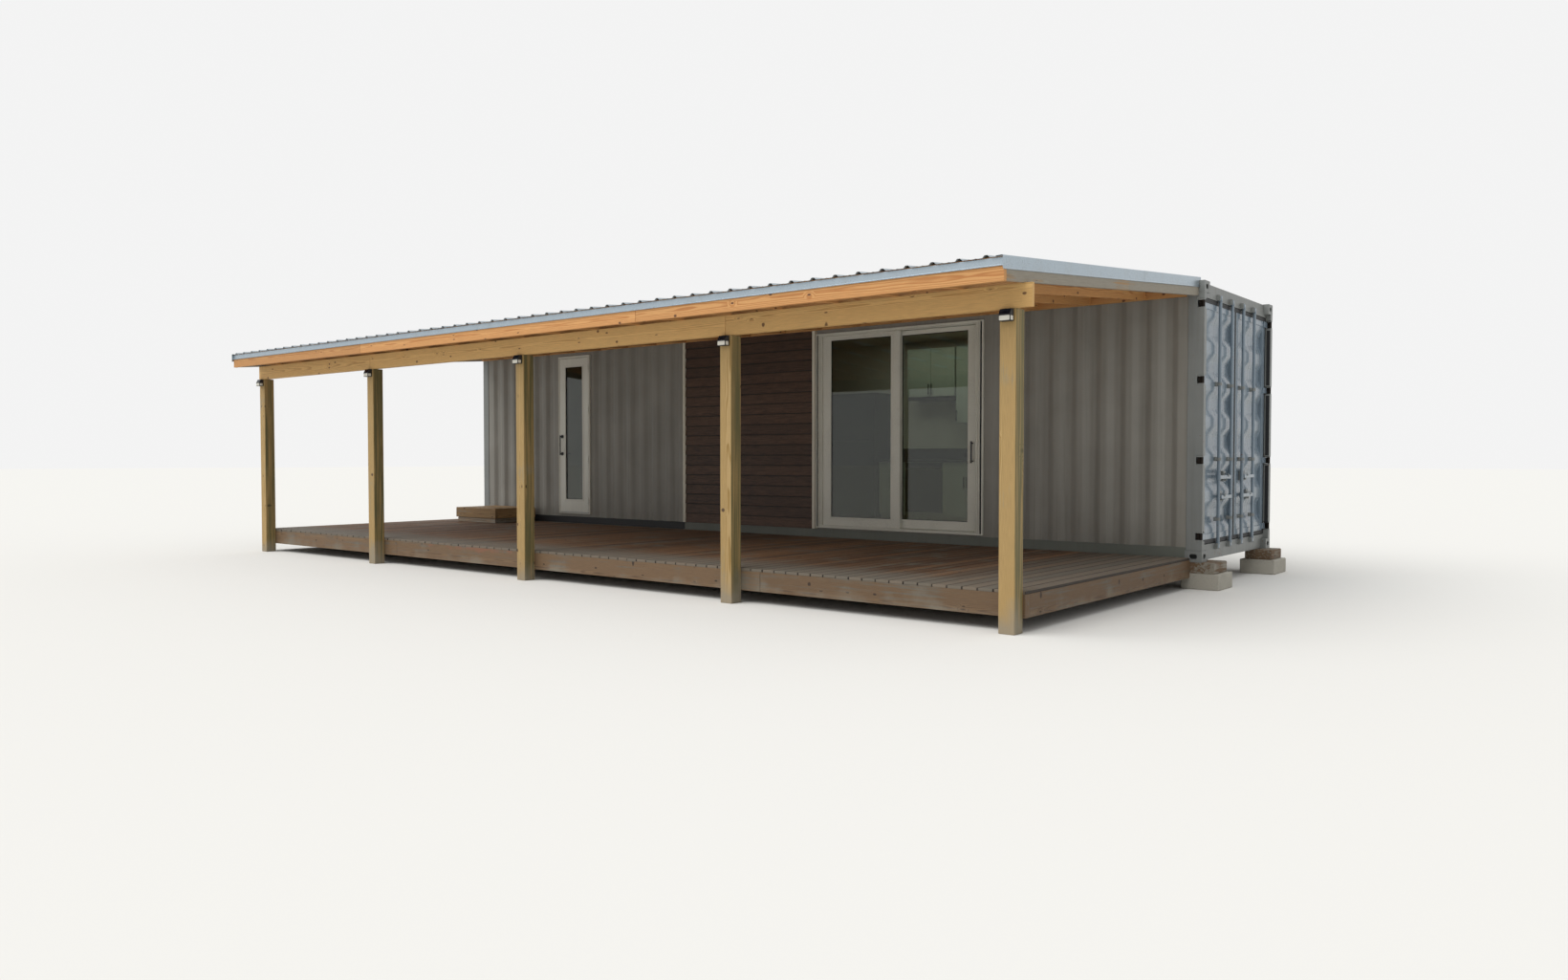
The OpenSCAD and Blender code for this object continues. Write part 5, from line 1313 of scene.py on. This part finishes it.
for y, grip_z, way in zip(BAR_Y, GRIP_Z, (1, -1)):
    bars.append(rod((BAR_X, y, leaf_z0 - BAR_PAST), UP, BAR_R,
                    leaf_z1 - leaf_z0 + 2 * BAR_PAST, 0.002))
    # A cam at each end, with a collar on the side of the leaf's middle
    for z, collar in ((leaf_z0 - 0.070, 0.0505), (leaf_z1 + 0.020, -0.0125)):
        at = np.array([BAR_X, y, z])
        bars += [block(at - (0.020, 0.022, 0), at + (0.014, 0.022, 0.050), 0.005),
                 rod(at + (0, 0, collar), UP, 0.0225, 0.012)]
    for z in STRAP_Z:
        at = np.array([LEAF_X1, y, z])
        straps += [block(at - (0.008, 0.045, 0.022), at + (0.008, 0.045, 0.022)),
                   sheet(STRAP_LINE, 0.004, at + (0.0085, 0, -0.016), (0, 0, 0.032),
                         (0, 1, 0), (1, 0, 0))]
        bolts += [at + (0.0118, s, 0) for s in (-0.034, 0.034)]
    # The handle turns on the bar, and its far end lies in a catch with a hook
    at = np.array([BAR_X, y, grip_z])
    a, b = sorted((0, way * HANDLE_REACH))
    grips += [rod(at - (0, 0, 0.028), UP, 0.023, 0.056),
              block(at + (0.006, a, -0.019), at + (0.0195, b, 0.019), 0.004),
              rod(at + (0.006, way * HANDLE_TIP, 0), (1, 0, 0), 0.022, 0.0138, 0.002)]
    at = np.array([LEAF_X1, y + way * CATCH_AT, grip_z])
    catches += [block(at - (0.040, 0.032, 0.050), at + (0.006, 0.032, 0.062)),
                block(at + (0.005, -0.012, -0.040), at + (0.0335, 0.012, -0.024)),
                sheet(HOOK_LINE, 0.004, at + (0.005, -0.011, 0.034), (0, 0.022, 0))]
    hook_bolts += [at + (0.0058, s, t) for s in (-0.024, 0.024) for t in (-0.043, 0.053)]
bolts = np.array(bolts + hook_bolts)
leaf_parts("lock_rods", bars + grips, door_coat, "lock_bars")
leaf_parts("bar_straps", straps + catches, frame_coat)

# The seal's lip covers the frame's outer 15 mm, so the bare plate starts inside it
plate_low = np.array([LEAF_X1 - 0.0004, leaf_y0 + 0.030, BASE + 0.776])
plate_high = np.array([LEAF_X1 + 0.0018, leaf_y0 + STILE - 0.004, BASE + 1.065])
# The plate's anodised face has worn to a dull brown-grey
worn_plate = metal("anodised_plate_worn", "#6f675f", 0.5, "#4c443c", 0.7)
piece("leaf_plate", block(plate_low, plate_high, 0.0006), worn_plate, "cargo_leaf_front")
rivets = [(plate_high[0], y, z) for y in (plate_low[1] + 0.008, plate_high[1] - 0.008)
          for z in (plate_low[2] + 0.010, plate_high[2] - 0.010)]
studs("plate_rivets", zinc, rivets, (1, 0, 0),
      [(0.0032, -0.0008), (0.0032, 0.0005), (0.0018, 0.0013)], body="cargo_leaf_front")
for end, feet in (("front", bolts), ("rear", mirrored(bolts))):
    studs(f"bar_bolts_{end}", zinc, feet, (1, 0, 0), [(0.0095, -0.001), (0.0095, 0.005),
          (0.007, 0.0062)], sides=6, slot="frame_paint", body=f"cargo_leaf_{end}")
print("bolts a leaf:", len(bolts))

# %% [markdown]
# What is left is small but close to the eye: the low step of stacked timbers by the entry,
# and the solar lamps under the beam, black with a frosted lower half and a dark cell on top.

# %% Porch step
TREAD_T, SIDE_T, LOW_SHARE, SET_BACK = 0.025, 0.038, 0.36, 0.030
TIER_GAP, TREAD_GAP = 0.0015, 0.0022
(x0, y0, z0), (x1, y1, z1) = near("porch_step")


def tier(x0, y0, z0, x1, y1, z1):
    """Four boards on edge round a rectangle, the long ones over the ends of the short ones."""
    long = [((x0, y, z0), (x1, y + SIDE_T, z1)) for y in (y0, y1 - SIDE_T)]
    return long + [((x, y0 + SIDE_T + 0.0006, z0), (x + SIDE_T, y1 - SIDE_T - 0.0006, z1))
                   for x in (x0, x1 - SIDE_T)]


# The step's boards are a warm brown, and its base timbers bare and greyer
step_pine = pine("cedar_toned_pine", "#a4845a", "#7d6240", "#4a3122", ring_mm=5,
                 grey=0.2)
base_pine = pine("bare_step_pine", "#94806a", "#75634f", "#4a3a2c", ring_mm=5,
                 grey=0.5)
split = z0 + LOW_SHARE * (z1 - TREAD_T - z0)
treads = np.linspace(y0, y1, 6)
lower = tier(x0 + SET_BACK, y0 + SET_BACK / 2, z0 + 0.0008, x1 - SET_BACK, y1, split - TIER_GAP)
upper = tier(x0, y0, split + TIER_GAP, x1, y1, z1 - TREAD_T - 0.0008)
upper += [((x0, a + TREAD_GAP, z1 - TREAD_T), (x1, b - TREAD_GAP, z1))
          for a, b in zip(treads, treads[1:])]
boards_in("step_base_timbers", base_pine, lower, ease=0.004)
boards_in("step_timbers", step_pine, upper, ease=0.004, stands_for="porch_step")
screws = [(x, y + s, z1 - 0.0004) for y in (treads[:-1] + treads[1:]) / 2
          for s in SCREW_PAIR for x in (x0 + SIDE_T / 2, x1 - SIDE_T / 2)]
studs("step_screws", screw_steel, screws, (0, 0, 1), WOOD_SCREW)
print("step:", len(upper) + len(lower), "timbers")

# %% Solar lamps
# Frosted plastic scatters light within it, the cell is smooth and blue-black, the case black
frosted = plain_surface("frosted_polycarbonate", "white_trim", "#d9d7cc", 0.5, "#b8b5a8", 0.2,
                        90.0, 0.0001, Subsurface_Weight=0.2, Subsurface_Radius=(0.01, 0.01, 0.01))
cell = plain_surface("laminated_solar_cell", "black_metal", "#10131c", 0.12, "#1c2740", 0.5,
                     14.0, 0.00002)
lamp_black = plain_surface("moulded_black_plastic", "black_plastic", "#1b1b1c", 0.45)
softened("post_lights", lamp_black, 0.004)
# The cell lies on the sloping top, which drops 44 mm over 22 mm
CELL_LINE = [(0.0015, -0.040), (0.0205, -0.002)]
shades, cells = [], []
for (x0, y0, z0), (x1, y1, z1) in solids_of("post_lights"):
    shades += [block((x0 + 0.004, y0 - 0.0025, z0 + 0.004), (x1 - 0.004, y1 - 0.012, z0 + 0.044),
                     0.006),
               block((x0 - 0.0015, y0 + 0.006, z0 + 0.006),
                     (x1 + 0.0015, y1 - 0.014, z0 + 0.042), 0.004)]
    cells.append(sheet(CELL_LINE, 0.0016, (x0 + 0.008, y0 - 0.0018, z1),
                       (x1 - x0 - 0.016, 0, 0), (0, 1, 0)))
piece("lamp_diffusers", joined(shades), frosted)
piece("lamp_cells", joined(cells), cell)
print("lamps:", len(cells))
